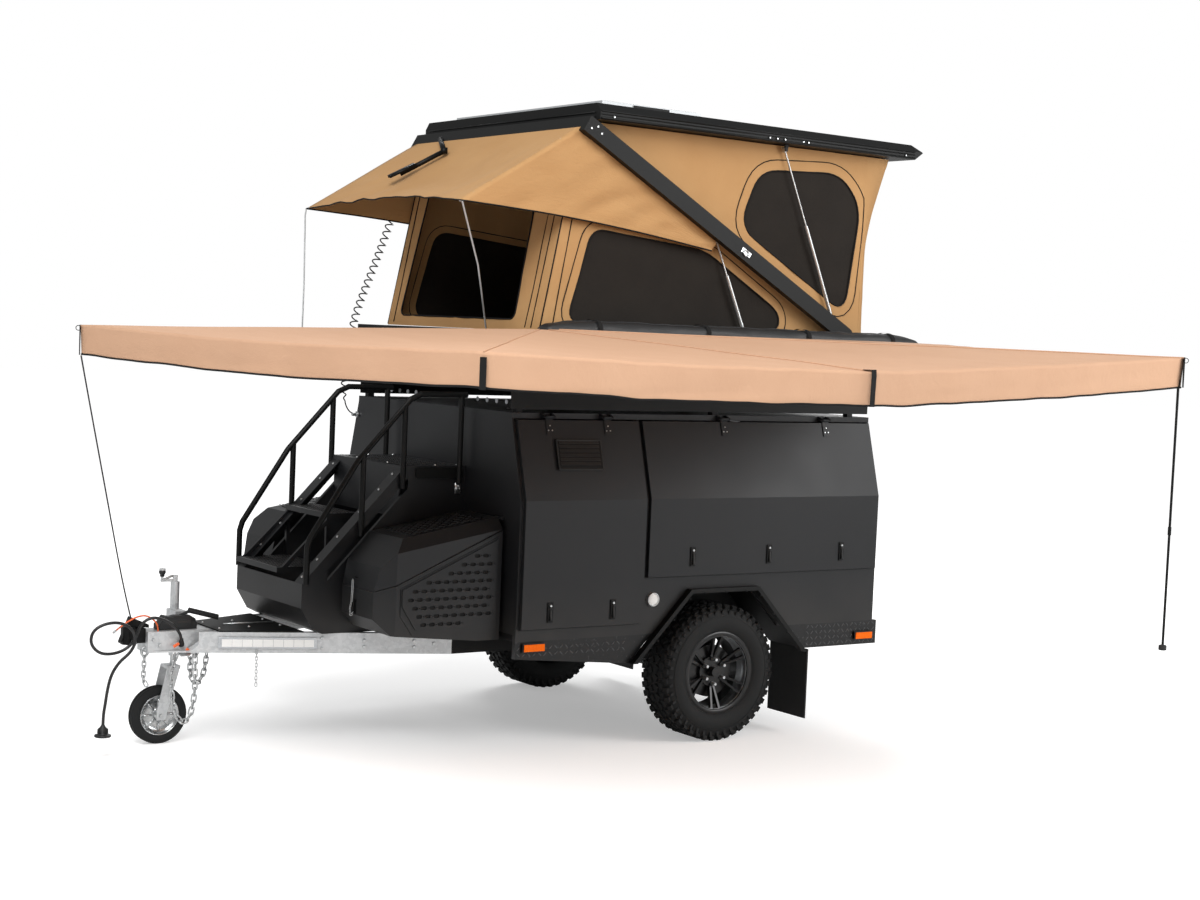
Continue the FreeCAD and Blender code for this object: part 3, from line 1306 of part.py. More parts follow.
# Tent mesh: a screen behind each side window.
meshes = [along_y(outline, -side_in_y - mesh_thickness, -side_in_y) for outline in window_outlines]
nodes["tent_mesh"] = both_sides(*meshes)

# Fly: the rain sheet over the front of the tent, sewn along the cross beam and held out by two sprung rods.
fly_side_y = beam_outer_y - fly_side_inset
fly_root_x, fly_root_z = raised(beam_front_x - half_beam - soft_gap, frame_hinge_height - half_beam / 2)
fly_low_x, fly_low_z = raised(beam_front_x - half_beam - soft_gap,
                              frame_hinge_height - half_beam - soft_gap)
fly_tip_x = fly_root_x - fly_reach
fly_tip_height = fly_root_z - fly_drop
fly_edge = [vec(fly_root_x, -fly_side_y, fly_root_z), vec(fly_tip_x, -fly_side_y, fly_tip_height),
            vec(fly_tip_x, fly_side_y, fly_tip_height), vec(fly_root_x, fly_side_y, fly_root_z)]
fly_front = face_of(fly_edge).extrude(vec(0, 0, fabric_thickness))
fly_side_top = raised(frame_hinge_x - fly_side_run, frame_hinge_height - half_beam - soft_gap)
fly_side_foot = raised(frame_hinge_x - fly_side_run, frame_hinge_height - half_beam - fly_side_drop)
fly_side = along_y([(fly_low_x, fly_low_z), (fly_root_x, fly_root_z), (fly_tip_x, fly_tip_height),
                    fly_side_foot, fly_side_top], -fly_side_y, -fly_side_y + fabric_thickness)
nodes["fly_sheet"] = fly_front.fuse([fly_side, other_side(fly_side)])
rod_foot = vec(base_front_x + fly_rod_foot_inset, -fly_rod_foot_y, base_top)
rod_head = vec(fly_tip_x + 2 * fly_rod_radius, -fly_side_y + fabric_thickness + fly_rod_radius + soft_gap,
               fly_tip_height)
rod_run = rod_head - rod_foot
rod_tilt = math.sqrt(rod_run.x ** 2 + rod_run.y ** 2) / rod_run.Length
rod_foot.z = base_top + fly_rod_radius * rod_tilt + soft_gap
nodes["fly_rods"] = both_sides(rod(rod_foot, rod_head, fly_rod_radius))

# Awning: bag on the near side, arms fanned from its front end, cloth over them and a hanging pole.
bag_section = [(bag_outer_y, bag_bottom), (bag_outer_y, bag_top - bag_corner),
               (bag_outer_y + bag_corner, bag_top), (bag_inner_y, bag_top), (bag_inner_y, bag_bottom)]
nodes["awning_bag"] = along_x(bag_section, bag_front_x, bag_rear_x)
hub = vec(awning_hub_x, awning_hub_y, hub_z)
tips = [hub + vec(run, reach, rise) for run, reach,
        rise in (awning_left, awning_mid, awning_low, awning_right)]
root = vec(awning_root_x, awning_hub_y, hub_z + awning_root_rise)
arm_drop = vec(0, 0, awning_cloth + awning_sag_gap + awning_arm_width / 2)


def arm_end(tip):
    """Where an arm stops short of the cloth's corner."""
    run = tip - hub
    run.normalize()
    return tip - run * awning_arm_end_gap


arms = [square_bar(hub - arm_drop, arm_end(tip) - arm_drop, awning_arm_width) for tip in tips]
hub_low = hub_z - 3 * awning_arm_width
hub_high = hub_z - awning_cloth - awning_sag_gap
hub_block = prism(vec(awning_hub_x, awning_hub_y, hub_low), vec(awning_hub_x, awning_hub_y, hub_high),
                  awning_hub_radius, plug_sides)
hub_bracket = block(awning_hub_x, bag_front_x, awning_hub_y, awning_hub_y + awning_hub_radius, hub_low,
                    hub_high)
pole_head = arm_end(tips[-1]) - arm_drop
pole_low = pole_head.z - awning_pole_length
pole = upright(pole_head.x, pole_head.y, pole_low, pole_head.z, awning_pole_radius)
pole_foot = prism(vec(pole_head.x, pole_head.y, pole_low - awning_foot_height),
                  vec(pole_head.x, pole_head.y, pole_low), awning_foot_radius, plug_sides)
nodes["awning_arms"] = arms[0].fuse(arms[1:] + [hub_block, hub_bracket, pole, pole_foot])
rim_points = tips + [root]
leaves = [face_of([hub, a, b]).extrude(vec(0, 0, -awning_cloth)) for a,
          b in zip(rim_points, rim_points[1:])]


def skirt_strip(a, b):
    """The hanging edge of the awning between two tips."""
    strip = face_of([a, b, b - vec(0, 0, awning_skirt), a - vec(0, 0, awning_skirt)])
    inward = vec(0, 0, 1).cross(b - a)
    inward.normalize()
    return strip.extrude(inward * awning_cloth)


strips = [skirt_strip(a, b) for a, b in zip(rim_points, rim_points[1:])]
bag_space = block(bag_front_x, bag_rear_x, awning_hub_y, bag_inner_y, bag_bottom, bag_top)
nodes["awning_cloth"] = without(leaves[0].fuse(leaves[1:] + strips), bag_space)


# Cords: six-sided tubes along their routes, and the plug on the trailer lead.
def cord_along(route, radius):
    """A tube along a route of points chosen by hand, and the bends that it takes."""
    points = [vec(x, y, z) for x, y, z in route]
    path, radii = path_wire(points, 0, bend_share)
    run = points[1] - points[0]
    side = run.cross(vec(0, 1, 0))
    side.normalize()
    turns = [FreeCAD.Rotation(run, i * 360 / cord_sides) for i in range(cord_sides)]
    ring = [turn.multVec(side) * radius + points[0] for turn in turns]
    return path.makePipeShell([Part.makePolygon(ring + ring[:1])], True, False), radii


nodes["trailer_lead"], lead_bends = cord_along(lead_route, lead_radius)
nodes["breakaway_cable"], breakaway_bends = cord_along(breakaway_route, breakaway_radius)
nodes["curly_cord"], curly_bends = cord_along(curly_route, curly_radius)
plug_x, plug_y, plug_top = lead_route[-1]
plug_low = plug_top - plug_height
plug = prism(vec(plug_x, plug_y, plug_low), vec(plug_x, plug_y, plug_top), plug_radius, plug_sides)
plug_flange = prism(vec(plug_x, plug_y, plug_low - plug_flange_height), vec(plug_x, plug_y, plug_low),
                    plug_flange_radius, plug_sides)
nodes["lead_plug"] = plug.fuse(plug_flange)
print("bends: lead", [round(r) for r in lead_bends], "breakaway", [round(r) for r in breakaway_bends],
      "curly", [round(r) for r in curly_bends])

# Frame: the origin goes to the ground under the middle of all that isn't a cord.
cord_nodes = ("trailer_lead", "lead_plug", "curly_cord", "breakaway_cable")
box = FreeCAD.BoundBox()
for name, shape in nodes.items():
    if name not in cord_nodes:
        box.add(shape.BoundBox)
shift = vec(-(box.XMin + box.XMax) / 2, -(box.YMin + box.YMax) / 2, 0)

os.makedirs("parts", exist_ok=True)
for name, shape in nodes.items():
    placed = shape.copy()
    placed.translate(shift)
    placed.exportStep("parts/%s.step" % name)
print("shift", shift, "nodes", len(nodes))
for name, shape in nodes.items():
    if not shape.isValid():
        print("not valid:", name)
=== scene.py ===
import math

import bmesh
import bpy
from mathutils import Matrix, Vector, noise


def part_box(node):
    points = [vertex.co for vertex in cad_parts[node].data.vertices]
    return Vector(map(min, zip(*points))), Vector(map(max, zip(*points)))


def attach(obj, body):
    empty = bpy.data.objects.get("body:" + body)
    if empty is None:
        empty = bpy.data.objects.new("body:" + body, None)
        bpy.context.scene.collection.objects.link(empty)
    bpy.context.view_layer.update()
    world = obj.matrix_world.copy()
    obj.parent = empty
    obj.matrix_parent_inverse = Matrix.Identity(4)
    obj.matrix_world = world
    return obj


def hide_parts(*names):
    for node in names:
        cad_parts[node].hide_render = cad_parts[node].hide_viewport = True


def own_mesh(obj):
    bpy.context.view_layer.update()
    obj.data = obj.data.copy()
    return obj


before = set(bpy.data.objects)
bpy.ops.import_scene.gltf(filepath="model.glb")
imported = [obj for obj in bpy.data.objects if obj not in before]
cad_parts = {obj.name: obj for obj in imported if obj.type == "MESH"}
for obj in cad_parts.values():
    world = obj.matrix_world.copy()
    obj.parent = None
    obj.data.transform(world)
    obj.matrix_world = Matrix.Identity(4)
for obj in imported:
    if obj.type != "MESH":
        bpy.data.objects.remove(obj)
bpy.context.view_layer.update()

# The trailer is measured from the ground under the middle of its axle, with its nose towards -X,
# its awning towards -Y and all lengths in metres. The two tyres say where that point is.
near_tyre_low, near_tyre_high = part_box("tyre_near")
far_tyre_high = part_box("tyre_far")[1]
axle_x = (near_tyre_low.x + near_tyre_high.x) / 2
middle_y = (near_tyre_low.y + far_tyre_high.y) / 2
both_sides = ((-1, "near"), (1, "far"))
flip_y = Vector((1, -1, 1))


def at(x, y, z):
    """A point counted from the ground under the middle of the axle."""
    return Vector((axle_x + x, middle_y + y, z))


def turns(count):
    """Angles evenly round a circle."""
    return [2 * math.pi * k / count for k in range(count)]


def linked(name, data):
    """A new object in the scene."""
    made = bpy.data.objects.new(name, data)
    bpy.context.scene.collection.objects.link(made)
    return made


def evaluated(obj):
    """A plain mesh of what an object's modifiers or bevel make of it."""
    return bpy.data.meshes.new_from_object(obj.evaluated_get(bpy.context.evaluated_depsgraph_get()))


# Camera: a long lens from ahead of the awning's side, a little above the tool boxes, tipped as the
# photograph is. Its focal length was solved in the photograph's pixels.
turn, lift, roll = (math.radians(angle) for angle in (-34.5089, 3.4823, 2.4607))
focal_pixels, photo_width, sensor = 1992.19, 1200, 36
back = Vector((math.sin(turn) * math.cos(lift), -math.cos(turn) * math.cos(lift), math.sin(lift)))
right = (-back).cross(Vector((0, 0, 1))).normalized()
above = right.cross(-back)
tipped = [right * math.cos(roll) + above * math.sin(roll), above * math.cos(roll) - right * math.sin(roll),
          back]
lens = bpy.data.cameras.new("camera")
lens.sensor_width = sensor
lens.lens = focal_pixels * sensor / photo_width
camera = linked("camera", lens)
camera.matrix_world = Matrix.Translation(at(-6.9654, -9.8332, 2.3135)) @ Matrix(tipped).transposed().to_4x4()
bpy.context.scene.camera = camera


def paint(colour):
    """An sRGB hex colour as the linear colour that a shader takes."""
    channels = [int(colour[i:i + 2], 16) / 255 for i in (1, 3, 5)]
    return [c / 12.92 if c <= 0.04045 else ((c + 0.055) / 1.055) ** 2.4 for c in channels] + [1]


def add(tree, kind, sockets=None, **settings):
    """Adds a node; a socket's value is a number, a colour, an output, or a node for its first output."""
    made = tree.nodes.new(kind)
    for name, value in settings.items():
        setattr(made, name, value)
    for name, value in (sockets or {}).items():
        if isinstance(value, bpy.types.Node):
            value = value.outputs[0]
        if isinstance(value, bpy.types.NodeSocket):
            tree.links.new(value, made.inputs[name])
        else:
            made.inputs[name].default_value = value
    return made


def maths(tree, operation, *values):
    """A sum on numbers or outputs."""
    return add(tree, "ShaderNodeMath", dict(enumerate(values)), operation=operation)


def ranged(tree, value, low, high, start=0.0, end=1.0, **settings):
    """A value mapped from the range start to end on to low to high."""
    sockets = {"Value": value, "From Min": start, "From Max": end, "To Min": low, "To Max": high}
    return add(tree, "ShaderNodeMapRange", sockets, **settings)


def toned(tree, share, tones):
    """A colour between two hex colours, or a hex colour and an output."""
    first, last = [paint(tone) if isinstance(tone, str) else tone for tone in tones]
    return add(tree, "ShaderNodeMix", {0: share, 6: first, 7: last}, data_type="RGBA").outputs[2]


def bumped(tree, height, strength, distance, **under):
    """Relief from a height, over the relief beneath it."""
    return add(tree, "ShaderNodeBump", {"Height": height, "Strength": strength, "Distance": distance,
                                        **under})


def finish(name):
    """A new material with its tree and shader, ready for the nodes of its own finish."""
    made = bpy.data.materials.new(name)
    made.use_nodes = True
    return made, made.node_tree, made.node_tree.nodes["Principled BSDF"]


def dressed(tree, shader, sockets):
    """Sets a shader's sockets to colours, numbers, outputs or nodes."""
    for name, value in sockets.items():
        if isinstance(value, bpy.types.Node):
            value = value.outputs[0]
        if isinstance(value, bpy.types.NodeSocket):
            tree.links.new(value, shader.inputs[name])
        else:
            shader.inputs[name].default_value = paint(value) if isinstance(value, str) else value


def grained(name, tones, grain, rough, relief=None, kind="Noise", height="Fac", worn=None, dust=None,
            **sockets):
    """A finish whose grain sets its tone, its gloss where rough is a range, and its relief.

    Its tone can follow a noise of its own, dust, and can keep to where its grain lies in a range, worn."""
    skin, tree, shader = finish(name)
    here = add(tree, "ShaderNodeTexCoord").outputs["Object"]
    texture = add(tree, "ShaderNodeTex" + kind, {"Vector": here, **grain}).outputs[height]
    share = add(tree, "ShaderNodeTexNoise", {"Vector": here, **dust}).outputs["Fac"] if dust else texture
    if worn:
        share = ranged(tree, share, 0.0, 1.0, *worn)
    dressed(tree, shader, {
        "Base Color": tones if isinstance(tones, str) else toned(tree, share, tones),
        "Roughness": ranged(tree, texture, *rough) if isinstance(rough, tuple) else rough})
    if relief:
        dressed(tree, shader, {"Normal": bumped(tree, texture, *relief)})
    dressed(tree, shader, {key.replace("_", " "): value for key, value in sockets.items()})
    return skin


# Floor and light: a white studio floor and a large soft box high on each side. The floor keeps the
# trailer's shadow, and what the camera and the shiny parts see beyond it is plain white.
white_floor, tree, shader = finish("matt_white_floor")
tree.nodes.remove(shader)
sight = add(tree, "ShaderNodeLightPath")
spread = add(tree, "ShaderNodeVectorMath", {0: add(tree, "ShaderNodeTexCoord").outputs["Object"]},
             operation="LENGTH")
rising = ranged(tree, spread.outputs["Value"], 0.36, 0.66, 3.5, 12.0, interpolation_type="SMOOTHSTEP")
seen = maths(tree, "MULTIPLY", sight.outputs["Is Camera Ray"], rising)
plain = add(tree, "ShaderNodeEmission", {"Color": paint("#ffffff"), "Strength": seen})
matt = add(tree, "ShaderNodeBsdfDiffuse", {"Color": paint("#f4f4f4")})
lit = add(tree, "ShaderNodeAddShader", {0: matt, 1: plain})
tree.links.new(lit.outputs[0], tree.nodes["Material Output"].inputs["Surface"])
floor_half, floor_z = 60, -0.0005
floor_mesh = bpy.data.meshes.new("studio_floor")
floor_corners = [at(x * floor_half, y * floor_half, floor_z) for x, y in ((-1, -1), (1, -1), (1, 1), (-1, 1))]
floor_mesh.from_pydata(floor_corners, [], [(0, 1, 2, 3)])
floor_mesh.materials.append(white_floor)
linked("studio_floor", floor_mesh)

world = bpy.data.worlds.new("studio")
world.use_nodes = True
bpy.context.scene.world = world
tree = world.node_tree
sight = add(tree, "ShaderNodeLightPath")
shown = maths(tree, "MAXIMUM", sight.outputs["Is Camera Ray"], sight.outputs["Is Transmission Ray"])
sky = add(tree, "ShaderNodeBackground", {"Color": paint("#ffffff"), "Strength": 0.46})
backdrop = add(tree, "ShaderNodeBackground", {"Color": paint("#ffffff"), "Strength": 1.0})
mixed = add(tree, "ShaderNodeMixShader", {0: shown, 1: sky, 2: backdrop})
tree.links.new(mixed.outputs[0], tree.nodes["World Output"].inputs["Surface"])

soft_boxes = (("key_light", at(-6.5, -6, 8.5), at(0, 0, 1.5), 5.5, 950),
              ("side_light", at(5.5, -8, 4.5), at(0, -1, 1.2), 5, 520),
              ("rear_light", at(5, 7.5, 7), at(0, 0, 2), 5, 520))
for name, place, aim, width, watts in soft_boxes:
    light = bpy.data.lights.new(name, "AREA")
    light.shape = "SQUARE"
    light.size = width
    light.energy = watts
    aimed = (aim - place).to_track_quat("-Z", "Y").to_matrix().to_4x4()
    linked(name, light).matrix_world = Matrix.Translation(place) @ aimed
bpy.context.scene.view_settings.view_transform = "Standard"


def ridden(obj, body):
    """An object that rides a body."""
    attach(obj, body)
    return obj


def piece(name, shape, skin, body, smooth=False):
    """A finished mesh of points and faces, with its material, riding on a body."""
    points, faces = shape
    made = bpy.data.meshes.new(name)
    made.from_pydata([tuple(p) for p in points], [], faces)
    made.materials.append(skin)
    if smooth:
        made.shade_smooth()
    return ridden(linked(name, made), body)


def cover(skin, *nodes):
    """Gives carried-over solids their finish."""
    for node in nodes:
        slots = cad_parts[node].data.materials
        slots.clear()
        slots.append(skin)


def grid(rows, wide, round_rows=False, round_wide=False):
    """Faces over rows of points; either way can close on itself."""
    faces = []
    for i in range(rows if round_rows else rows - 1):
        here, after = i * wide, (i + 1) % rows * wide
        for k in range(wide if round_wide else wide - 1):
            m = (k + 1) % wide
            faces.append((here + k, here + m, after + m, after + k))
    return faces


def tube(rings, close=False):
    """Points and faces of a skin over rings of points, its ends capped unless it closes on itself."""
    wide = len(rings[0])
    points = [p for ring in rings for p in ring]
    faces = grid(len(rings), wide, close, True)
    if not close:
        faces += [tuple(reversed(range(wide))), tuple(range(len(points) - wide, len(points)))]
    return points, faces


def merged(shapes):
    """Several sets of points and faces as one."""
    points, faces = [], []
    for more, sets in shapes:
        faces += [tuple(i + len(points) for i in face) for face in sets]
        points += more
    return points, faces


def spun(profile, centre, steps, name, skin, body, close=True):
    """A ring turned about a line across the trailer: profile points are (reach towards -Y, radius)."""
    points = [centre + Vector((r * math.cos(a), -y, r * math.sin(a))) for a in turns(steps)
              for y, r in profile]
    shape = points, grid(steps, len(profile), True, close)
    return piece(name, shape, skin, body, smooth=True)


def new_tree(name, sizes, counts=(), start=None):
    """A tree that grows a mesh from sizes, counts and a material, with the inputs that it is given."""
    tree = bpy.data.node_groups.new(name, "GeometryNodeTree")
    kinds = [(start, "Geometry")] if start else []
    kinds += [(size, "Float") for size in sizes] + [(count, "Int") for count in counts]
    kinds.append(("Skin", "Material"))
    for socket, kind in kinds:
        tree.interface.new_socket(socket, in_out="INPUT", socket_type="NodeSocket" + kind)
    tree.interface.new_socket("Geometry", in_out="OUTPUT", socket_type="NodeSocketGeometry")
    return tree, add(tree, "NodeGroupInput").outputs


def grows(tree, given, places, one, rotation, smooth=False):
    """Ends a tree: one of its things on each place, as real geometry in the given material."""
    placed = add(tree, "GeometryNodeInstanceOnPoints", {"Points": places, "Instance": one,
                                                        "Rotation": rotation})
    real = add(tree, "GeometryNodeRealizeInstances", {0: placed})
    if smooth:
        real = add(tree, "GeometryNodeSetShadeSmooth", {0: real})
    skin = add(tree, "GeometryNodeSetMaterial", {"Geometry": real, "Material": given["Skin"]})
    tree.links.new(skin.outputs[0], tree.nodes.new("NodeGroupOutput").inputs[0])
    return tree


def grown(seed, tree, values):
    """What a tree grows from a mesh and its inputs, as a plain mesh."""
    holder = linked(seed.name, seed)
    modifier = holder.modifiers.new("grow", "NODES")
    modifier.node_group = tree
    names = {item.name: item.identifier for item in tree.interface.items_tree if item.in_out == "INPUT"}
    for key, value in values.items():
        modifier[names[key]] = value
    made = evaluated(holder)
    bpy.data.objects.remove(holder)
    return made


def gathered(name, meshes, skin, body, smooth=False):
    """Several grown meshes as one piece on one body."""
    joined = bmesh.new()
    for mesh in meshes:
        joined.from_mesh(mesh)
    made = bpy.data.meshes.new(name)
    joined.to_mesh(made)
    joined.free()
    made.materials.clear()
    made.materials.append(skin)
    for face in made.polygons:
        face.material_index = 0
    if smooth:
        made.shade_smooth()
    return ridden(linked(name, made), body)


# Tyres: all-terrain tyres of black rubber. Each is moulded: a carcass with bulging walls, two rows of
# blocks across the tread and a row of side lugs down each shoulder, pressed over the rim's lips.
# Carbon-black rubber is matt and a little grey, with dust in its grain; the grain is drawn at 3 mm.
tyre_rubber = grained(
    "moulded_tyre_rubber", ("#121314", "#1f2020"), {"Scale": 330.0, "Detail": 3.0}, (0.62, 0.86),
    (0.25, 0.0008), dust={"Scale": 7.0, "Detail": 5.0}, Specular_IOR_Level=0.3)
# half-section of the carcass: how far from the tyre's middle plane, and its radius
carcass = ((0.0995, 0.2335), (0.1075, 0.2400), (0.1135, 0.2480), (0.1215, 0.2650), (0.1262, 0.2860),
           (0.1270, 0.3040), (0.1240, 0.3230), (0.1180, 0.3420), (0.1115, 0.3560), (0.1060, 0.3660),
           (0.0980, 0.3730), (0.0800, 0.3765), (0.0400, 0.3785), (0.0, 0.3790))


def tread_tree():
    """Blocks round a tyre: a row of them in the tread, or lugs that run down the shoulder."""
    sizes = ("Radius", "Offset", "Length", "Width", "Depth", "Lean", "Skew", "Start")
    tree, given = new_tree("tyre_blocks", sizes, ("Count",))
    line = add(tree, "GeometryNodePoints", {"Count": given["Count"]})
    share = maths(tree, "DIVIDE", add(tree, "GeometryNodeInputIndex"), given["Count"])
    angle = maths(tree, "MULTIPLY_ADD", share, 2 * math.pi, given["Start"])
    place = add(tree, "ShaderNodeCombineXYZ", {
        "X": maths(tree, "MULTIPLY", maths(tree, "COSINE", angle), given["Radius"]), "Y": given["Offset"],
        "Z": maths(tree, "MULTIPLY", maths(tree, "SINE", angle), given["Radius"])})
    moved = add(tree, "GeometryNodeSetPosition", {"Geometry": line, "Position": place})
    size = add(tree, "ShaderNodeCombineXYZ", {"X": given["Depth"], "Y": given["Width"], "Z": given["Length"]})
    cube = add(tree, "GeometryNodeMeshCube", {"Size": size})
    outward = add(tree, "ShaderNodeSeparateXYZ", {0: add(tree, "GeometryNodeInputNormal")})
    is_top = add(tree, "FunctionNodeCompare", {0: outward.outputs["X"], 1: 0.9}, operation="GREATER_THAN")
    narrowed = add(tree, "GeometryNodeScaleElements", {"Geometry": cube, "Selection": is_top, "Scale": 0.86})
    skewed = add(tree, "ShaderNodeCombineXYZ", {"X": given["Skew"], "Y": 0.0, "Z": given["Lean"]})
    slanted = add(tree, "GeometryNodeTransform", {"Geometry": narrowed, "Rotation": skewed})
    turned = add(tree, "ShaderNodeCombineXYZ", {"Y": maths(tree, "MULTIPLY", angle, -1.0)})
    return grows(tree, given, moved, slanted, turned)


block_tree = tread_tree()
block_sizes = ("Offset", "Radius", "Length", "Width", "Depth", "Lean", "Skew", "Start", "Count")
tread_rows = [(-0.071, 0.3825, 0.040, 0.034, 0.013, 0.0, 0.16, 0.00, 44),
              (-0.027, 0.3832, 0.038, 0.036, 0.013, 0.0, -0.42, 0.05, 44),
              (0.027, 0.3832, 0.038, 0.036, 0.013, 0.0, 0.42, 0.09, 44),
              (0.071, 0.3825, 0.040, 0.034, 0.013, 0.0, -0.16, 0.02, 44)]
# Each edge of a tyre has shoulder blocks, side lugs and fine ribs on its wall.
for edge in (-1, 1):
    tread_rows += [(edge * 0.1035, 0.3735, 0.032, 0.026, 0.026, edge * 0.62, 0.0, 0.06, 44),
                   (edge * 0.1185, 0.345, 0.017, 0.009, 0.036, edge * 0.26, 0.0, 0.0, 44),
                   (edge * 0.1245, 0.3245, 0.0445, 0.0032, 0.004, 0.0, 0.0, 0.0, 46)]
for side, mark in both_sides:
    low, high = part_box("tyre_" + mark)
    hub = (low + high) / 2
    ring = list(carcass) + [(-y, r) for y, r in reversed(carcass[:-1])]
    tyre = spun(ring, hub, 128, "tyre_carcass_" + mark, tyre_rubber, "wheel_" + mark)
    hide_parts("tyre_" + mark)
    rows = []
    for row in tread_rows:
        blocks = grown(bpy.data.meshes.new("tread_row"), block_tree,
                       {"Skin": tyre_rubber, **dict(zip(block_sizes, row))})
        blocks.transform(Matrix.Translation(hub))
        rows.append(blocks)
    gathered("tyre_blocks_" + mark, rows, tyre_rubber, "wheel_" + mark)

# Rims: cast aluminium, six twin-bar spokes, painted gloss black; the barrel's inside is left bright.
# Each is held by six bright nuts round a black cap.
# Sprayed black under a clear coat, with a very slight orange peel at about 4 mm.
wheel_black = grained(
    "gloss_black_wheel_paint", "#060607", {"Scale": 240.0, "Detail": 2.0}, (0.28, 0.4), (0.08, 0.0004),
    Specular_IOR_Level=0.3, Coat_Weight=0.25, Coat_Roughness=0.12)
# Turned on a lathe, so its fine rings catch the light; they are drawn at 2 mm.
bright_alloy = grained("turned_aluminium", "#b9bcbf", {"Scale": 160.0, "Detail": 4.0}, (0.2, 0.42),
                       Metallic=1.0)
# Bright zinc plating: silver with a slightly cloudy passivation.
plated_steel = grained(
    "zinc_plated_steel", ("#a4a7a9", "#d4d6d6"), {"Scale": 60.0, "Detail": 4.0}, (0.22, 0.46), Metallic=0.9)


def fastener_tree():
    """Bolt heads or nuts, one on each point of a mesh, turned to the point's own direction."""
    tree, given = new_tree("fasteners", ("Radius", "Height", "Crown"), ("Sides",), "Places")
    narrow = maths(tree, "MULTIPLY", given["Radius"], given["Crown"])
    shaft = add(tree, "GeometryNodeMeshCone", {
        "Vertices": given["Sides"], "Radius Bottom": given["Radius"], "Depth": given["Height"],
        "Radius Top": narrow})
    aim = add(tree, "GeometryNodeInputNamedAttribute", data_type="FLOAT_VECTOR")
    aim.inputs["Name"].default_value = "aim"
    turned = add(tree, "FunctionNodeAlignRotationToVector", {"Vector": aim}, axis="Z")
    return grows(tree, given, given["Places"], shaft, turned)


fasteners = fastener_tree()


def bolted(name, spots, aim, radius, height, skin, body, sides=6, crown=0.8):
    """Heads at several spots, all facing the same way or each its own."""
    seed = bpy.data.meshes.new(name)
    seed.from_pydata([tuple(p) for p in spots], [], [])
    for k, value in enumerate(seed.attributes.new("aim", "FLOAT_VECTOR", "POINT").data):
        value.vector = aim[k] if isinstance(aim, list) else aim
    sizes = {"Radius": radius, "Height": height, "Sides": sides, "Crown": crown, "Skin": skin}
    return gathered(name, [grown(seed, fasteners, sizes)], skin, body)


nut_circle, nut_radius, nut_height, nut_inset = 0.070, 0.0125, 0.034, 0.060
barrel = ((0.012, 0.2079), (0.014, 0.2068), (0.100, 0.2068), (0.100, 0.2079))
lip = ((-0.003, 0.2095), (0.0004, 0.2140), (0.0010, 0.2250), (0.0006, 0.2345), (-0.002, 0.2375),
       (-0.004, 0.2375), (-0.004, 0.2095))
for side, mark in both_sides:
    cover(wheel_black, "rim_" + mark)
    low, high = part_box("rim_" + mark)
    hub = (low + high) / 2
    face_y = side * (high.y - low.y) / 2
    spots = [hub + Vector((nut_circle * math.cos(a), face_y - side * nut_inset, nut_circle * math.sin(a)))
             for a in [math.pi * (k + 0.5) / 3 for k in range(6)]]
    bolted("wheel_nuts_" + mark, spots, Vector((0, side, 0)), nut_radius, nut_height, plated_steel,
           "wheel_" + mark, crown=0.72)
    spun([(-face_y + side * s, r) for s, r in barrel], hub, 72, "barrel_inside_" + mark, bright_alloy,
         "wheel_" + mark)
    spun([(-face_y - side * s, r) for s, r in lip], hub, 96, "lip_edge_" + mark, wheel_black, "wheel_" + mark)

# Chassis: welded steel box, painted satin black under the body; the arms and drawbar are hot-dip galvanised.
# The drawbar is bolted through to the rails and keeps the spangle of its zinc bath.
# Sprayed enamel over steel: a soft sheen, with a fine orange peel at 3 mm.
satin_black = grained(
    "satin_black_paint", "#090a0a", {"Scale": 330.0, "Detail": 2.0}, (0.4, 0.56), (0.12, 0.0003),
    Specular_IOR_Level=0.2)
# Zinc crystals 8 to 20 mm across, each a slightly different grey and gloss, and faint runs.
galvanised, tree, shader = finish("hot_dip_galvanised_steel")
here = add(tree, "ShaderNodeTexCoord").outputs["Object"]
bent = add(tree, "ShaderNodeTexNoise", {"Vector": here, "Scale": 40.0, "Detail": 2.0})
warped = add(tree, "ShaderNodeMix", {0: 0.03, 4: here, 5: bent.outputs["Color"]}, data_type="VECTOR")
crystal = add(tree, "ShaderNodeTexVoronoi", {"Vector": warped.outputs[1], "Scale": 70.0})
runs = add(tree, "ShaderNodeTexNoise", {"Vector": here, "Scale": 9.0, "Detail": 5.0})
tone = add(tree, "ShaderNodeSeparateColor", {0: crystal.outputs["Color"]})
mixed = add(tree, "ShaderNodeMix", {0: 0.55, 2: tone, 3: runs.outputs["Fac"]}, data_type="FLOAT")
dressed(tree, shader, {"Base Color": toned(tree, mixed, ("#b2b5b7", "#d6d8d9")), "Metallic": 0.55,
                       "Roughness": ranged(tree, tone.outputs[1], 0.34, 0.55)})
cover(satin_black, "chassis_frame", "cabin_floor")
cover(galvanised, "drawbar", "trailing_arms")

# Drawbar rails: each runs from the nose out to the chassis, so a place on its face goes by x.
nose_half, nose_x = 0.123, -2.850
rail_outer, rail_run = 0.625, 1.300
rail_aim = Vector((nose_half - rail_outer, -rail_run, 0)).normalized()


def rail_y(x):
    """The near drawbar rail's outer face at x."""
    return -(nose_half + (rail_outer - nose_half) * (x - nose_x) / rail_run)


def rail_spot(x, z, proud=0.0):
    """A point on the near drawbar rail's outer face."""
    return at(x, rail_y(x), z) + rail_aim * proud


def mirrored(spot):
    """The same spot on the far side."""
    return Vector((spot.x, 2 * middle_y - spot.y, spot.z))


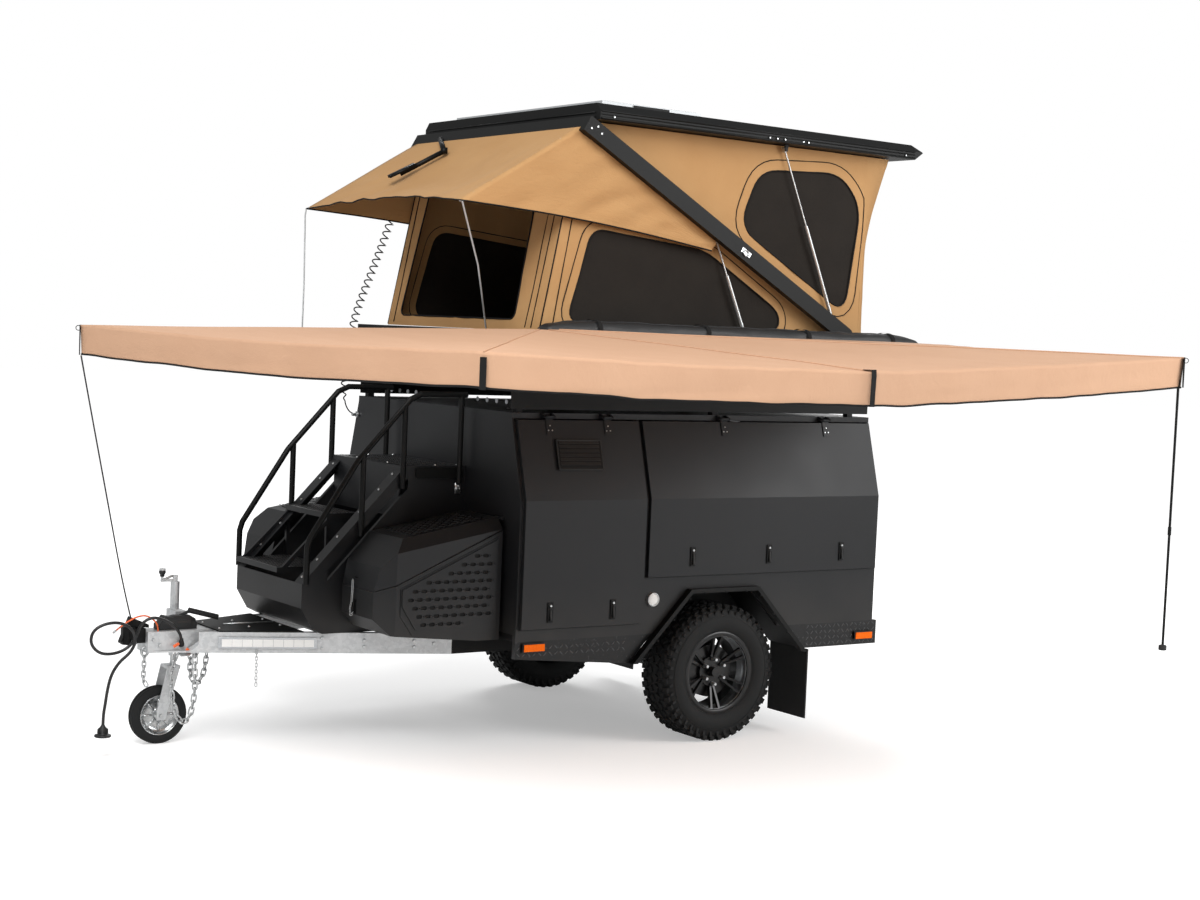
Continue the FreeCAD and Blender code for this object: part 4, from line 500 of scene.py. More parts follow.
bolt_places = ((-1.99, 0.600), (-1.99, 0.566), (-1.74, 0.600), (-1.74, 0.566), (-1.64, 0.585), (-2.20, 0.556),
               (-2.20, 0.612))
drawbar_bolts = [rail_spot(x, z, 0.003) for x, z in bolt_places]
bolted("drawbar_bolts_near", drawbar_bolts, rail_aim, 0.010, 0.009, plated_steel, "chassis")
bolted("drawbar_bolts_far", [mirrored(p) for p in drawbar_bolts], rail_aim * flip_y, 0.010, 0.009,
       plated_steel, "chassis")


def rounded_bar(points, radius, sides=12, close=False):
    """Points and faces of a round bar along points, its ends capped."""
    rings = []
    count = len(points)
    side = None
    for k, here in enumerate(points):
        before = points[(k - 1) % count] if close or k > 0 else here
        after = points[(k + 1) % count] if close or k < count - 1 else here
        run = (after - before).normalized()
        if side is None:
            side = run.orthogonal().normalized()
        side = (side - run * side.dot(run)).normalized()
        other = run.cross(side)
        rings.append([here + (side * math.cos(a) + other * math.sin(a)) * radius for a in turns(sides)])
    return tube(rings, close)


def slab(corners, thickness):
    """A plate from its corners, given thickness along its own normal, with both faces and its edges."""
    up = (corners[1] - corners[0]).cross(corners[2] - corners[0]).normalized() * thickness
    count = len(corners)
    faces = [tuple(reversed(range(count))), tuple(range(count, 2 * count))]
    faces += [(i, (i + 1) % count, count + (i + 1) % count, count + i) for i in range(count)]
    return list(corners) + [c + up for c in corners], faces


def plate(place, u0, u1, v0, v1, thickness):
    """A four-cornered slab between two pairs of limits; place turns a flat point into one in space."""
    return slab([place(u, v) for u, v in ((u0, v0), (u1, v0), (u1, v1), (u0, v1))], thickness)


def eased(obj, width, steps=2):
    """Rounds a piece's edges and leaves a plain mesh."""
    modifier = obj.modifiers.new("ease", "BEVEL")
    modifier.width = width
    modifier.segments = steps
    modifier.limit_method = "ANGLE"
    modifier.angle_limit = math.radians(35)
    modifier.harden_normals = False
    made = evaluated(obj)
    obj.modifiers.remove(modifier)
    obj.data = made
    return obj


# Drawbar fittings: welded gussets and chain plates, a black cable tray lid bolted over the rails, and
# the strip marker lamps, each a clear lens over a row of small bulbs on a thin gasket.
cover(satin_black, "drawbar_deck")
deck_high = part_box("drawbar_deck")[1]
bolted("deck_screws", [at(x, y, deck_high.z) for x in (-2.67, -2.50, -2.32) for y in (-0.11, 0.11)],
       Vector((0, 0, 1)), 0.008, 0.006, plated_steel, "chassis", sides=12, crown=0.5)
gusset_plan, gusset_steel = ((-2.86, 0.126), (-2.70, 0.075), (-3.02, 0.075)), 0.008
gussets = [slab([at(x, side * y, 0.532 if side < 0 else 0.524) for x, y in gusset_plan], -side * gusset_steel)
           for side, mark in both_sides]
chain_plate = ((-2.905, 0.072, 0.542), (-2.875, 0.100, 0.512), (-2.825, 0.100, 0.512), (-2.790, 0.072, 0.542))
gussets += [slab([at(x, side * y, z) for x, y, z in chain_plate], side * gusset_steel)
            for side, mark in both_sides]
piece("nose_gussets", merged(gussets), galvanised, "chassis")

# Moulded acrylic over a bright reflector: ribs every 4 mm throw back pale bands.
clear_lens = grained(
    "clear_acrylic_lens", ("#d9dad8", "#f1f1ef"), {"Scale": 75.0, "Distortion": 0.4}, 0.12, (0.3, 0.001),
    kind="Wave", Coat_Weight=0.5)


def prism_lens(name, bright, deep):
    """Coloured acrylic with small prisms behind, drawn at 5 mm, that break up its colour."""
    return grained(name, (bright, deep), {"Scale": 200.0}, 0.3, kind="Voronoi", height="Distance",
                   Specular_IOR_Level=0.12)


# Acrylic of the reflectors and turn lamps, a glossy orange, and of the tail lamps, a deep red.
orange_lens = prism_lens("orange_acrylic_reflector", "#ff7a04", "#f05c00")
red_lens = prism_lens("red_acrylic_lens", "#c80a0a", "#5c0202")
# Extruded EPDM: deep black and matt, with a faint grey bloom.
rubber_seal = grained("extruded_rubber_seal", ("#0f0f10", "#1d1d1e"), {"Scale": 45.0, "Detail": 4.0}, 0.7)


def sided(spots, side):
    """Corners as they are on the near side, or mirrored and turned so that a slab still faces out."""
    return spots if side < 0 else [mirrored(p) for p in reversed(spots)]


lamp_front, lamp_rear, bulbs, bulb_pitch = -2.700, -2.230, 9, 0.050
cells, gaskets, lenses, trays = [], [], [], []
for side, mark in both_sides:
    x0, x1, z0, z1 = lamp_front - 0.006, lamp_rear + 0.006, 0.556, 0.614
    trays.append(slab(sided([rail_spot(x, z, 0.0125) for x, z in ((x0, z0), (x1, z0), (x1, z1), (x0, z1))],
                            side), 0.002))
    for k in range(bulbs):
        x0, x1, z0, z1 = lamp_front + 0.012 + k * bulb_pitch, lamp_front + 0.0605 + k * bulb_pitch, 0.565, 0.605
        cell = [rail_spot(x, z, 0.0145) for x, z in ((x0, z0), (x1, z0), (x1, z1), (x0, z1))]
        cells.append(slab(sided(cell, side), 0.003))
    for x, z in ((-1.269, 0.607), (1.067, 0.554)):
        for group, long, high, y, thickness in ((gaskets, 0.071, 0.026, -1.0070, 0.003),
                                                (lenses, 0.064, 0.019, -1.0100, 0.006)):
            corners = [at(x + dx * long, y, z + dz * high) for dx, dz in ((-1, -1), (1, -1), (1, 1), (-1, 1))]
            group.append(slab(sided(corners, side), thickness))
lamp_sets = (("lamp_gaskets", gaskets, rubber_seal), ("strip_lamp_trays", trays, bright_alloy),
             ("strip_lamp_cells", cells, clear_lens), ("side_reflectors", lenses, orange_lens))
lamps_made = [eased(piece(name, merged(parts), skin, "chassis"), 0.0012)
              for name, parts, skin in lamp_sets]
dome = ((0.0, 0.0005), (0.0015, 0.014), (-0.002, 0.0255), (-0.007, 0.032))
bezel = ((-0.008, 0.031), (-0.002, 0.033), (-0.001, 0.036), (-0.004, 0.0385), (-0.014, 0.041),
         (-0.026, 0.041))
for side, mark in both_sides:
    hub = at(-0.495, side * 1.0125, 0.833)
    spun([(-side * y, r) for y, r in bezel], hub, 48, "round_lamp_bezel_" + mark, plated_steel, "chassis",
         False)
    spun([(-side * y, r) for y, r in dome], hub, 48, "round_lamp_lens_" + mark, clear_lens, "chassis",
         False)
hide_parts("lamps")

# Coupling: a pressed and painted head with a cast lifting handle, bolted through the tongue. It has
# galvanised bolts and a chrome nub for the release.
cover(satin_black, "coupling_head")
for side, mark in both_sides:
    bolted("coupling_bolts_" + mark, [at(-3.020, side * 0.0725, 0.60), at(-2.985, side * 0.0725, 0.57)],
           Vector((0, side, 0)), 0.011, 0.010, plated_steel, "chassis")
nub = rounded_bar([at(-3.120, -0.046, 0.592), at(-3.120, -0.064, 0.588), at(-3.122, -0.070, 0.584)], 0.012,
                  16)
eased(piece("release_nub", nub, plated_steel, "chassis", smooth=True), 0.003)


# Safety chains: forged zinc-plated links with their pins and orange-sleeved hooks. One hangs in a long
# loop at the near side of the tongue, its twin at the far side, and a short one hangs from the shackle.
def link_tree():
    """Chain links along a curve, every second one turned a quarter round."""
    tree, given = new_tree("chain_links", ("Pitch", "Half Width", "Half Length", "Wire"), start="Path")
    line = add(tree, "GeometryNodeMeshToCurve", {"Mesh": given["Path"]})
    places = add(tree, "GeometryNodeCurveToPoints", {"Curve": line, "Length": given["Pitch"]}, mode="LENGTH")
    ring = add(tree, "GeometryNodeCurvePrimitiveCircle", {"Resolution": 20, "Radius": 1.0})
    where = add(tree, "ShaderNodeSeparateXYZ", {0: add(tree, "GeometryNodeInputPosition")}).outputs
    wide = maths(tree, "MULTIPLY", where["X"], given["Half Width"])
    straight = maths(tree, "SUBTRACT", given["Half Length"], given["Half Width"])
    pushed = maths(tree, "MULTIPLY", maths(tree, "SIGN", where["Y"]), straight)
    round_end = maths(tree, "MULTIPLY_ADD", where["Y"], given["Half Width"], pushed)
    shape = add(tree, "ShaderNodeCombineXYZ", {"X": wide, "Z": round_end})
    oval = add(tree, "GeometryNodeSetPosition", {"Geometry": ring, "Position": shape})
    wire = add(tree, "GeometryNodeCurvePrimitiveCircle", {"Resolution": 8, "Radius": given["Wire"]})
    link = add(tree, "GeometryNodeCurveToMesh", {"Curve": oval, "Profile Curve": wire})
    quarter = maths(tree, "MULTIPLY", add(tree, "GeometryNodeInputIndex"), math.pi / 2)
    twisted = add(tree, "FunctionNodeRotateRotation", {
        "Rotation": places.outputs["Rotation"],
        "Rotate By": add(tree, "ShaderNodeCombineXYZ", {"Z": quarter})}, rotation_space="LOCAL")
    return grows(tree, given, places, link, twisted, smooth=True)


links = link_tree()


def hanging_path(points, steps=60):
    """A smooth line through a few hanging points."""
    made = []
    spans = len(points) - 1
    each = steps // spans
    for k in range(spans):
        a, b, c, d = points[max(k - 1, 0)], points[k], points[k + 1], points[min(k + 2, spans)]
        for t in [i / each for i in range(each)]:
            bend = (2 * a - 5 * b + 4 * c - d) * t * t + (3 * b - a - 3 * c + d) * t ** 3
            made.append(0.5 * ((2 * b) + (c - a) * t + bend))
    return made + [points[-1]]


def chain(name, points, pitch, half_length, half_width, wire):
    """A chain of links hung along a line of points."""
    line = hanging_path(points)
    seed = bpy.data.meshes.new(name)
    seed.from_pydata([tuple(p) for p in line], [(k, k + 1) for k in range(len(line) - 1)], [])
    sizes = {"Pitch": pitch, "Half Length": half_length, "Half Width": half_width, "Wire": wire,
             "Skin": plated_steel}
    gathered(name, [grown(seed, links, sizes)], plated_steel, "chassis", smooth=True)


heavy_link, short_link = (0.0335, 0.0235, 0.0125, 0.0042), (0.026, 0.0185, 0.0105, 0.0036)
small_link = (0.017, 0.012, 0.006, 0.0018)
near_loop = ((-2.800, -0.104, 0.520), (-2.798, -0.106, 0.42), (-2.800, -0.108, 0.30), (-2.822, -0.110, 0.196),
             (-2.862, -0.110, 0.166), (-2.902, -0.110, 0.214), (-2.924, -0.108, 0.31), (-2.926, -0.106, 0.42),
             (-2.912, -0.104, 0.508))
far_loop = ((-2.60, 0.20, 0.525), (-2.605, 0.205, 0.42), (-2.62, 0.21, 0.34), (-2.655, 0.212, 0.305),
            (-2.69, 0.21, 0.36), (-2.70, 0.19, 0.525))
short_run = ((-3.054, -0.040, 0.522), (-3.056, -0.042, 0.45), (-3.058, -0.044, 0.392), (-3.048, -0.05, 0.368))
stand_run = ((-2.520, rail_y(-2.52) - 0.006, 0.536), (-2.522, -0.262, 0.46), (-2.520, -0.260, 0.365))
for name, run, link in (("safety_chain_near", near_loop, heavy_link),
                        ("safety_chain_far", far_loop, heavy_link),
                        ("short_chain", short_run, short_link), ("stand_chain", stand_run, small_link)):
    chain(name, [at(*spot) for spot in run], *link)
hooks = [rounded_bar([at(-3.052 + 0.020 * math.cos(a), -0.036, 0.534 + 0.022 * math.sin(a))
                      for a in turns(24)],
                     0.006, 10, close=True)]
for x, z in ((-2.800, 0.524), (-2.912, 0.512)):
    ring = [at(x + 0.015 * math.cos(a), -0.103, z + 0.018 * math.sin(a)) for a in turns(20)]
    hooks.append(rounded_bar(ring, 0.0055, 10, close=True))
piece("chain_shackles", merged(hooks), plated_steel, "chassis", smooth=True)

# Dyed nylon of the hooks' sleeves: a strong orange with a soft sheen, scuffed paler in patches.
orange_nylon = grained("orange_nylon_sleeve", ("#d8481a", "#f07a3c"), {"Scale": 90.0, "Detail": 5.0}, 0.5)
tabs = []
for x, z, lean in ((-2.905, 0.570, 0.5), (-2.835, 0.538, -0.6)):
    core = at(x, -0.0955, z)
    along = Vector((math.cos(lean), 0, math.sin(lean))) * 0.017
    across = Vector((-math.sin(lean), 0, math.cos(lean))) * 0.0075
    outline = ((-1, -1), (0.9, -1), (1.15, 0), (0.9, 1), (-1, 1))
    tabs.append(slab([core + along * u + across * v for u, v in outline], 0.008))
eased(piece("hook_latches", merged(tabs), orange_nylon, "chassis"), 0.002)

# Handbrake: a moulded plastic housing over the tongue with a ratchet lever in it, and a steel rod that
# runs back along the deck from it.
# Glass-filled nylon out of a spark-eroded mould: black with a fine satin grain, drawn at 2 mm.
moulded_black = grained(
    "moulded_black_plastic", "#161718", {"Scale": 500.0, "Detail": 2.0}, (0.42, 0.66), (0.2, 0.0003))
cover(moulded_black, "handbrake")
# each ring of the housing: its place along the tongue, its width as a share and how far its top stands up
boot_rings = ((-2.985, 0.7, -0.030), (-2.960, 1.05, -0.004), (-2.88, 1.16, 0.014), (-2.80, 1.12, 0.012),
              (-2.765, 0.9, -0.008))
boot = [[at(x, y * w, z) for y, z in ((-0.031, 0.642), (-0.033, 0.676), (-0.020, 0.700 + t),
                                      (0.020, 0.700 + t), (0.033, 0.676), (0.031, 0.642))]
        for x, w, t in boot_rings]
eased(piece("brake_housing", tube(boot), moulded_black, "chassis"), 0.006, 3)
rod = rounded_bar([at(-2.60, 0.0, 0.652), at(-2.45, 0.0, 0.6505), at(-2.31, 0.0, 0.6505)], 0.005, 10)
piece("brake_rod", rod, plated_steel, "chassis", smooth=True)

# Jockey wheel: a galvanised tube with a crank on top, in a clamp on the tongue; below it a fork and a
# solid rubber tyre on a pressed, zinc-plated rim with a bright hub.
cover(galvanised, "jockey_post", "jockey_fork")
low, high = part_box("jockey_wheel")
hub = (low + high) / 2
half = (high.y - low.y) / 2
outer = (high.x - low.x) / 2
# widths of the wheel's profiles are shares of its half width
tyre_profile = ((0.70, 0.107), (0.86, 0.109), (0.97, 0.118), (1.0, 0.130), (0.93, 0.142), (0.74, 0.1505),
                (0.70, 0.1545), (0.56, outer), (0.40, outer), (0.34, 0.1515), (0.10, 0.1515), (0.04, outer))
ring = [(half * y, r) for y, r in tyre_profile] + [(-half * y, r) for y, r in reversed(tyre_profile)]
jockey_tyre = spun(ring, hub, 72, "jockey_tyre", tyre_rubber, "jockey_wheel")
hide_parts("jockey_wheel")
# Rolled and pressed sheet, bright-plated: it mirrors softly and streaks towards the rim.
pressed = grained(
    "zinc_plated_pressed_steel", ("#8f9294", "#d8dada"), {"Scale": 38.0, "Detail": 6.0}, (0.16, 0.36),
    Metallic=0.95)
dish = ((0.72, 0.1085), (0.98, 0.1075), (1.0, 0.1045), (0.90, 0.1015), (0.62, 0.096), (0.34, 0.078),
        (0.26, 0.055), (0.40, 0.036), (0.62, 0.030), (1.02, 0.0255), (1.08, 0.021), (1.08, 0.0095),
        (0.2, 0.0095))
for side, mark in both_sides:
    spun([(-side * half * y, r) for y, r in dish], hub, 64, "jockey_rim_" + mark, pressed, "jockey_wheel",
         close=False)
ribs = [rounded_bar([hub + Vector((math.cos(a) * r, side * half * y, math.sin(a) * r))
                     for r, y in ((0.036, 0.36), (0.060, 0.30), (0.086, 0.44))], 0.0065, 8)
        for a in turns(8) for side, mark in both_sides]
piece("jockey_rim_ribs", merged(ribs), pressed, "jockey_wheel", smooth=True)
axle_ends = [Vector((hub.x, corner.y, hub.z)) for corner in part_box("jockey_fork")]
bolted("jockey_axle_nuts", axle_ends, [Vector((0, side, 0)) for side, mark in both_sides], 0.013, 0.011,
       plated_steel, "jockey_swivel")

# Crank: a plated rod bent twice, with a black moulded knob, and the clamp's T-handle bolt.
post_x, post_y, clamp_z = -2.811, 0.165, 0.585
crank = ((0, 0.894), (-0.02, 0.897), (-0.055, 0.883), (-0.072, 0.878), (-0.076, 0.898))
handle_y = post_y + 0.075
handles = [rounded_bar(hanging_path([at(post_x + dx, post_y, z) for dx, z in crank], 24), 0.0068, 12),
           rounded_bar([at(post_x, post_y + 0.02, clamp_z), at(post_x, handle_y, clamp_z)], 0.008, 12),
           rounded_bar([at(post_x + dx, handle_y, clamp_z) for dx in (-0.045, 0.045)], 0.006, 12)]
piece("jockey_clamp_handle", merged(handles), plated_steel, "chassis", smooth=True)


def upright_rings(x, y, rings, count):
    """A turned form that stands upright: rings are (height, radius) from the lowest up."""
    return tube([[at(x + r * math.cos(a), y + r * math.sin(a), z) for a in turns(count)] for z, r in rings])


knob_rings = ((0.894, 0.006), (0.897, 0.012), (0.908, 0.0125), (0.914, 0.0175), (0.922, 0.0190),
              (0.930, 0.0165), (0.934, 0.010), (0.935, 0.001))
piece("crank_knob", upright_rings(post_x - 0.074, post_y, knob_rings, 20), moulded_black, "chassis",
      smooth=True)

# Trailer lead: two-core cable in a black PVC sheath, doubled back on itself over the coupling in a
# loose loop, with its flat round plug hanging clear of the ground. It leaves through a rubber gland.
# Extruded PVC: black, half glossy, with a slight drag along it.
pvc_sheath = grained("black_pvc_sheath", "#141415", {"Scale": 120.0, "Detail": 3.0}, (0.3, 0.48))


def spline(name, route):
    """A smooth cord line with the route's points as its control points."""
    made = bpy.data.curves.new(name, "CURVE")
    made.dimensions = "3D"
    made.resolution_u = 12
    line = made.splines.new("NURBS")
    line.points.add(len(route) - 1)
    for point, spot in zip(line.points, route):
        point.co = (*at(*spot), 1)
    line.order_u = 3
    line.use_endpoint_u = True
    return linked(name, made)


def line_of(obj):
    """The points that a cord's line runs through."""
    return [v.co.copy() for v in evaluated(obj).vertices]


def length_of(points):
    """How long a line of points is."""
    return sum((b - a).length for a, b in zip(points, points[1:]))


def corded(name, route, radius, resolution, skin):
    """A round cord along a route, with its line and its length taken before it gets its thickness."""
    obj = spline(name, route)
    line = line_of(obj)
    obj.data.bevel_depth = radius
    obj.data.bevel_resolution = resolution
    obj.data.use_fill_caps = True
    obj.data.materials.append(skin)
    return ridden(obj, "chassis"), line, length_of(line)


lead_route = [
    (-2.868, -0.080, 0.572), (-2.882, -0.112, 0.616), (-2.918, -0.124, 0.666), (-2.974, -0.124, 0.708),
    (-3.050, -0.114, 0.728), (-3.104, -0.098, 0.688), (-3.118, -0.084, 0.616), (-3.160, -0.074, 0.562),
    (-3.230, -0.070, 0.536), (-3.308, -0.070, 0.542), (-3.360, -0.074, 0.596), (-3.352, -0.080, 0.662),
    (-3.296, -0.088, 0.698), (-3.218, -0.098, 0.706), (-3.152, -0.108, 0.674), (-3.128, -0.114, 0.608),
    (-3.158, -0.112, 0.546), (-3.214, -0.104, 0.500), (-3.252, -0.096, 0.436), (-3.268, -0.090, 0.356),
    (-3.276, -0.086, 0.280), (-3.284, -0.084, 0.222), (-3.284, -0.084, 0.168)]
trailer_lead, _, lead_length = corded("lead", lead_route, 0.008, 5, pvc_sheath)
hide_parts("trailer_lead")
gland_root = at(*lead_route[0])
gland_run = (at(*lead_route[1]) - gland_root).normalized()
upward = gland_run.orthogonal().normalized()
sideways = gland_run.cross(upward)
gland_rings = ((-0.010, 0.0150), (0.0, 0.0150), (0.010, 0.0135), (0.022, 0.0115), (0.036, 0.0095))
gland = tube([[gland_root + gland_run * s + (upward * math.cos(a) + sideways * math.sin(a)) * r
               for a in turns(20)] for s, r in gland_rings])
piece("lead_gland", gland, rubber_seal, "chassis", smooth=True)

plug_rings = ((0.1125, 0.001), (0.1125, 0.0400), (0.1155, 0.0435), (0.1225, 0.0425), (0.1245, 0.0395),
              (0.1265, 0.0300), (0.130, 0.0255), (0.156, 0.0235), (0.160, 0.0200), (0.164, 0.0140),
              (0.170, 0.0125), (0.174, 0.010))
plug_x, plug_y = lead_route[-1][:2]
plug = piece("lead_plug_body", upright_rings(plug_x, plug_y, plug_rings, 28), moulded_black, "chassis",
             smooth=True)
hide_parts("lead_plug")
ridges = [rounded_bar([at(plug_x + r * math.cos(a), plug_y + r * math.sin(a), z)
                       for r, z in ((0.0258, 0.154), (0.0268, 0.133))], 0.0014, 6) for a in turns(24)]
plug_grip = piece("plug_ridges", merged(ridges), moulded_black, "chassis", smooth=True)

# Breakaway cable: steel rope in an orange nylon sleeve, sprung forward over the coupling, with a
# crimped steel ferrule on its end.
breakaway_route = [
    (-2.990, -0.056, 0.640), (-2.990, -0.056, 0.672), (-3.022, -0.064, 0.708), (-3.064, -0.066, 0.730),
    (-3.110, -0.066, 0.724), (-3.154, -0.066, 0.704), (-3.198, -0.064, 0.676), (-3.236, -0.062, 0.644)]
breakaway, line, breakaway_length = corded("breakaway", breakaway_route, 0.0042, 4, orange_nylon)
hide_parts("breakaway_cable")
run = (line[-1] - line[-2]).normalized()
ferrule = rounded_bar([line[-1] - run * 0.022, line[-1] - run * 0.010, line[-1]], 0.0056, 12)
ferrule = eased(piece("cable_ferrule", ferrule, plated_steel, "chassis"), 0.0012)

# Body: folded and welded sheet steel under satin powder coat. Walls, roof, doors, boxes, stair and
# arches all wear it; rubber seals fill the gaps round every door.
# Powder coat over sheet steel: charcoal, satin, with orange peel a few millimetres wide and a thin
# film of road dust that thickens towards the bottom edge.
charcoal, tree, shader = finish("satin_charcoal_powder_coat")
here = add(tree, "ShaderNodeTexCoord").outputs["Object"]
heights = add(tree, "ShaderNodeSeparateXYZ", {0: here})
cloud = add(tree, "ShaderNodeTexNoise", {"Vector": here, "Scale": 3.0, "Detail": 5.0}).outputs["Fac"]
peel = add(tree, "ShaderNodeTexNoise", {"Vector": here, "Scale": 260.0, "Detail": 2.0}).outputs["Fac"]
film = maths(tree, "MULTIPLY", ranged(tree, heights.outputs["Z"], 0.0, 0.35, 0.95, 0.5), cloud)
coat = toned(tree, cloud, ("#17181a", "#1d1e20"))
dressed(tree, shader, {"Base Color": toned(tree, film, (coat, "#5b5751")),
                       "Roughness": ranged(tree, cloud, 0.36, 0.5),
                       "Specular IOR Level": 0.28, "Normal": bumped(tree, peel, 0.12, 0.0006)})
cover(charcoal, "side_wall_near", "side_wall_far", "front_wall", "rear_wall", "roof_panel", "front_door_near",
      "front_door_far", "rear_hatch_near", "rear_hatch_far", "tail_door", "tool_boxes", "box_lid_near",
      "box_lid_far", "front_stair")
cover(satin_black, "arch_flares", "wheel_boxes", "bulkhead", "handrails", "roof_rack")
cover(tyre_rubber, "air_springs")
cover(rubber_seal, "mud_flaps")
body_half, crease_z, lean_share = 0.995, 1.392, 0.2838
seal_radius = 0.0026


def skin_at(x, z, proud=0.0, side=-1):
    """A point on the body's side, upright up to the crease and leaning in over it."""
    return at(x, side * (body_half - max(z - crease_z, 0) * lean_share + proud), z)


seals = []
for side, mark in both_sides:
    for x0, x1, foot in ((-1.363, -0.572, 0.703), (-0.550, 1.126, 0.956)):
        loop = [(x0, foot), (x1, foot), (x1, crease_z), (x1, 1.805), (x0, 1.805), (x0, crease_z)]
        seals.append(rounded_bar([skin_at(x, z, -0.002, side) for x, z in loop], seal_radius, 6, close=True))
piece("door_seals", merged(seals), rubber_seal, "chassis", smooth=True)


# Door latches: pressed steel cups with a turning paddle and a lock barrel, black, one pair on every
# front door and the tail door, and three on every rear hatch. Each is held by two bright screws.
def door_latches(door, spot, places, height, outward):
    """Latches along a door's lower edge; spot gives a point on the body's skin, or proud of it."""
    cups, paddles, heads = [], [], []
    for u in places:
        cups.append(plate(lambda du, dz: spot(u + du, height + dz, 0.0275),
                          -0.017, 0.017, -0.050, 0.058, 0.005))
        bend = ((-0.040, 0.006), (-0.028, 0.004), (0.012, 0.0), (0.024, -0.002))
        paddles.append(rounded_bar([spot(u, height + dz, 0.034 + rise) for dz, rise in bend], 0.0062, 10))
        paddles.append(rounded_bar([spot(u, height + 0.026, proud) for proud in (0.026, 0.0365)], 0.0095, 14))
        heads += [spot(u, height + dz, 0.030) for dz in (-0.045, 0.052)]
    eased(piece("latch_cups_" + door, merged(cups), satin_black, door), 0.0018)
    piece("latch_paddles_" + door, merged(paddles), moulded_black, door, smooth=True)
    bolted("latch_screws_" + door, heads, outward, 0.0032, 0.0018, plated_steel, door, sides=12)
    barrels = [spot(u, height + 0.040, 0.0325) for u in places]
    bolted("latch_barrels_" + door, barrels, outward, 0.0075, 0.004, plated_steel, door, sides=16)


for side, mark in both_sides:
    for door, xs, z in (("front_door_", (-1.185, -0.778), 0.790),
                        ("rear_hatch_", (-0.248, 0.299, 0.845), 1.062)):
        door_latches(door + mark, lambda x, z, proud: skin_at(x, z, proud, side), xs, z, Vector((0, side, 0)))

# Tail: a rubber seal in the gap round the door, two latches, and a lamp under each end of the door.
# A lamp is a moulded black tray with red and orange acrylic lenses, held by two screws.
tail_x, tail_lamp_z, lens_foot = 1.143, 0.726, 0.0125
loop = [(-0.894, 0.780), (0.894, 0.780), (0.894, crease_z), (0.7927, 1.749), (-0.7927, 1.749),
        (-0.894, crease_z)]
tail_seal = rounded_bar([at(tail_x - 0.002, y, z) for y, z in loop], seal_radius, 6, close=True)
piece("tail_door_seal", tail_seal, rubber_seal, "chassis", smooth=True)
door_latches("tail_door", lambda y, z, proud: at(tail_x + proud, y, z), (-0.430, 0.430), 0.880,
             Vector((1, 0, 0)))
tail_lamps = (("tail_lamp_trays", moulded_black, "black_plastic", 0.690, 0.930, 0.030, 0.0005, 0.012),
              ("tail_lamp_red", red_lens, "lamp", 0.700, 0.845, 0.022, lens_foot, 0.009),
              ("tail_lamp_orange", orange_lens, "lamp", 0.850, 0.920, 0.022, lens_foot, 0.009))
for name, skin, slot, inner, outer, rise, foot, depth in tail_lamps:
    lamps = [plate(lambda y, dz: at(tail_x + foot, y, tail_lamp_z + dz),
                   *sorted((side * inner, side * outer)), -rise, rise, depth)
             for side, mark in both_sides]
    eased(piece(name, merged(lamps), skin, "chassis"), 0.004)
heads = [at(tail_x + lens_foot, side * y, tail_lamp_z) for side, mark in both_sides for y in (0.694, 0.926)]
bolted("tail_lamp_screws", heads, Vector((1, 0, 0)), 0.0026, 0.0015, plated_steel, "chassis", sides=12)

# Strap hinge screws: three bright button heads through every strap of the side doors.
for side, mark in both_sides:
    outward = Vector((0, side * 0.962, 0.273))
    for door, xs in (("front_door_", (-1.165, -0.788)), ("rear_hatch_", (0.019, 0.775))):
        spots = [skin_at(x + dx, z, 0.0305, side) for x in xs
                 for dx, z in ((-0.012, 1.760), (0.012, 1.760), (0.0, 1.785))]
        bolted("strap_screws_" + door + mark, spots, outward, 0.0042, 0.003, plated_steel, door + mark,
               sides=12)

# Louvred vent on each front door: a moulded hood with six blades over a dark insect screen.
vent_x0, vent_x1, vent_z0, vent_z1, blade_pitch = -1.139, -0.857, 1.556, 1.710, 0.0225
blade = ((-1.126, 0.0, 0.0425), (-0.870, 0.0, 0.0425), (-0.870, 0.0145, 0.0375), (-1.126, 0.0145, 0.0375))
for side, mark in both_sides:
    blades = [slab([skin_at(x, 1.578 + k * blade_pitch + dz, proud, side) for x, dz, proud in blade], 0.0035)
              for k in range(6)]
    corners = [(vent_x0, vent_z0), (vent_x1, vent_z0), (vent_x1, vent_z1), (vent_x0, vent_z1)]
    blades += [rounded_bar([skin_at(*corner, 0.0395, side) for corner in pair], 0.0045, 8)
               for pair in zip(corners, corners[1:] + corners[:1])]
    piece("vent_louvres_" + mark, merged(blades), moulded_black, "front_door_" + mark)
    hood_foot = 0.0255 if side < 0 else 0.0400
    hood = plate(lambda x, z: skin_at(x, z, hood_foot, side), vent_x0 - 0.002, vent_x1 + 0.002,
                 vent_z0 - 0.002, vent_z1 + 0.002, 0.0145)
    piece("vent_hood_" + mark, hood, satin_black, "front_door_" + mark)

# Tread plate: rolled aluminium sheet painted black, with raised lozenges in crossed pairs. It clads
# the skirts, and cut pads of it cover the lids of the tool boxes.
# Its black paint is scuffed thin in small patches; boots and grit rub the skirts' lozenges to grey.
tread_black = grained(
    "painted_tread_plate", ("#0b0b0c", "#3d3e40"), {"Scale": 60.0, "Detail": 6.0}, 0.38, worn=(0.62, 0.72),
    Specular_IOR_Level=0.35)
tread_bare = grained("rubbed_tread_plate", ("#141415", "#4a4c4e"), {"Scale": 9.0, "Detail": 6.0}, 0.32)
cover(tread_black, "tread_skirts")

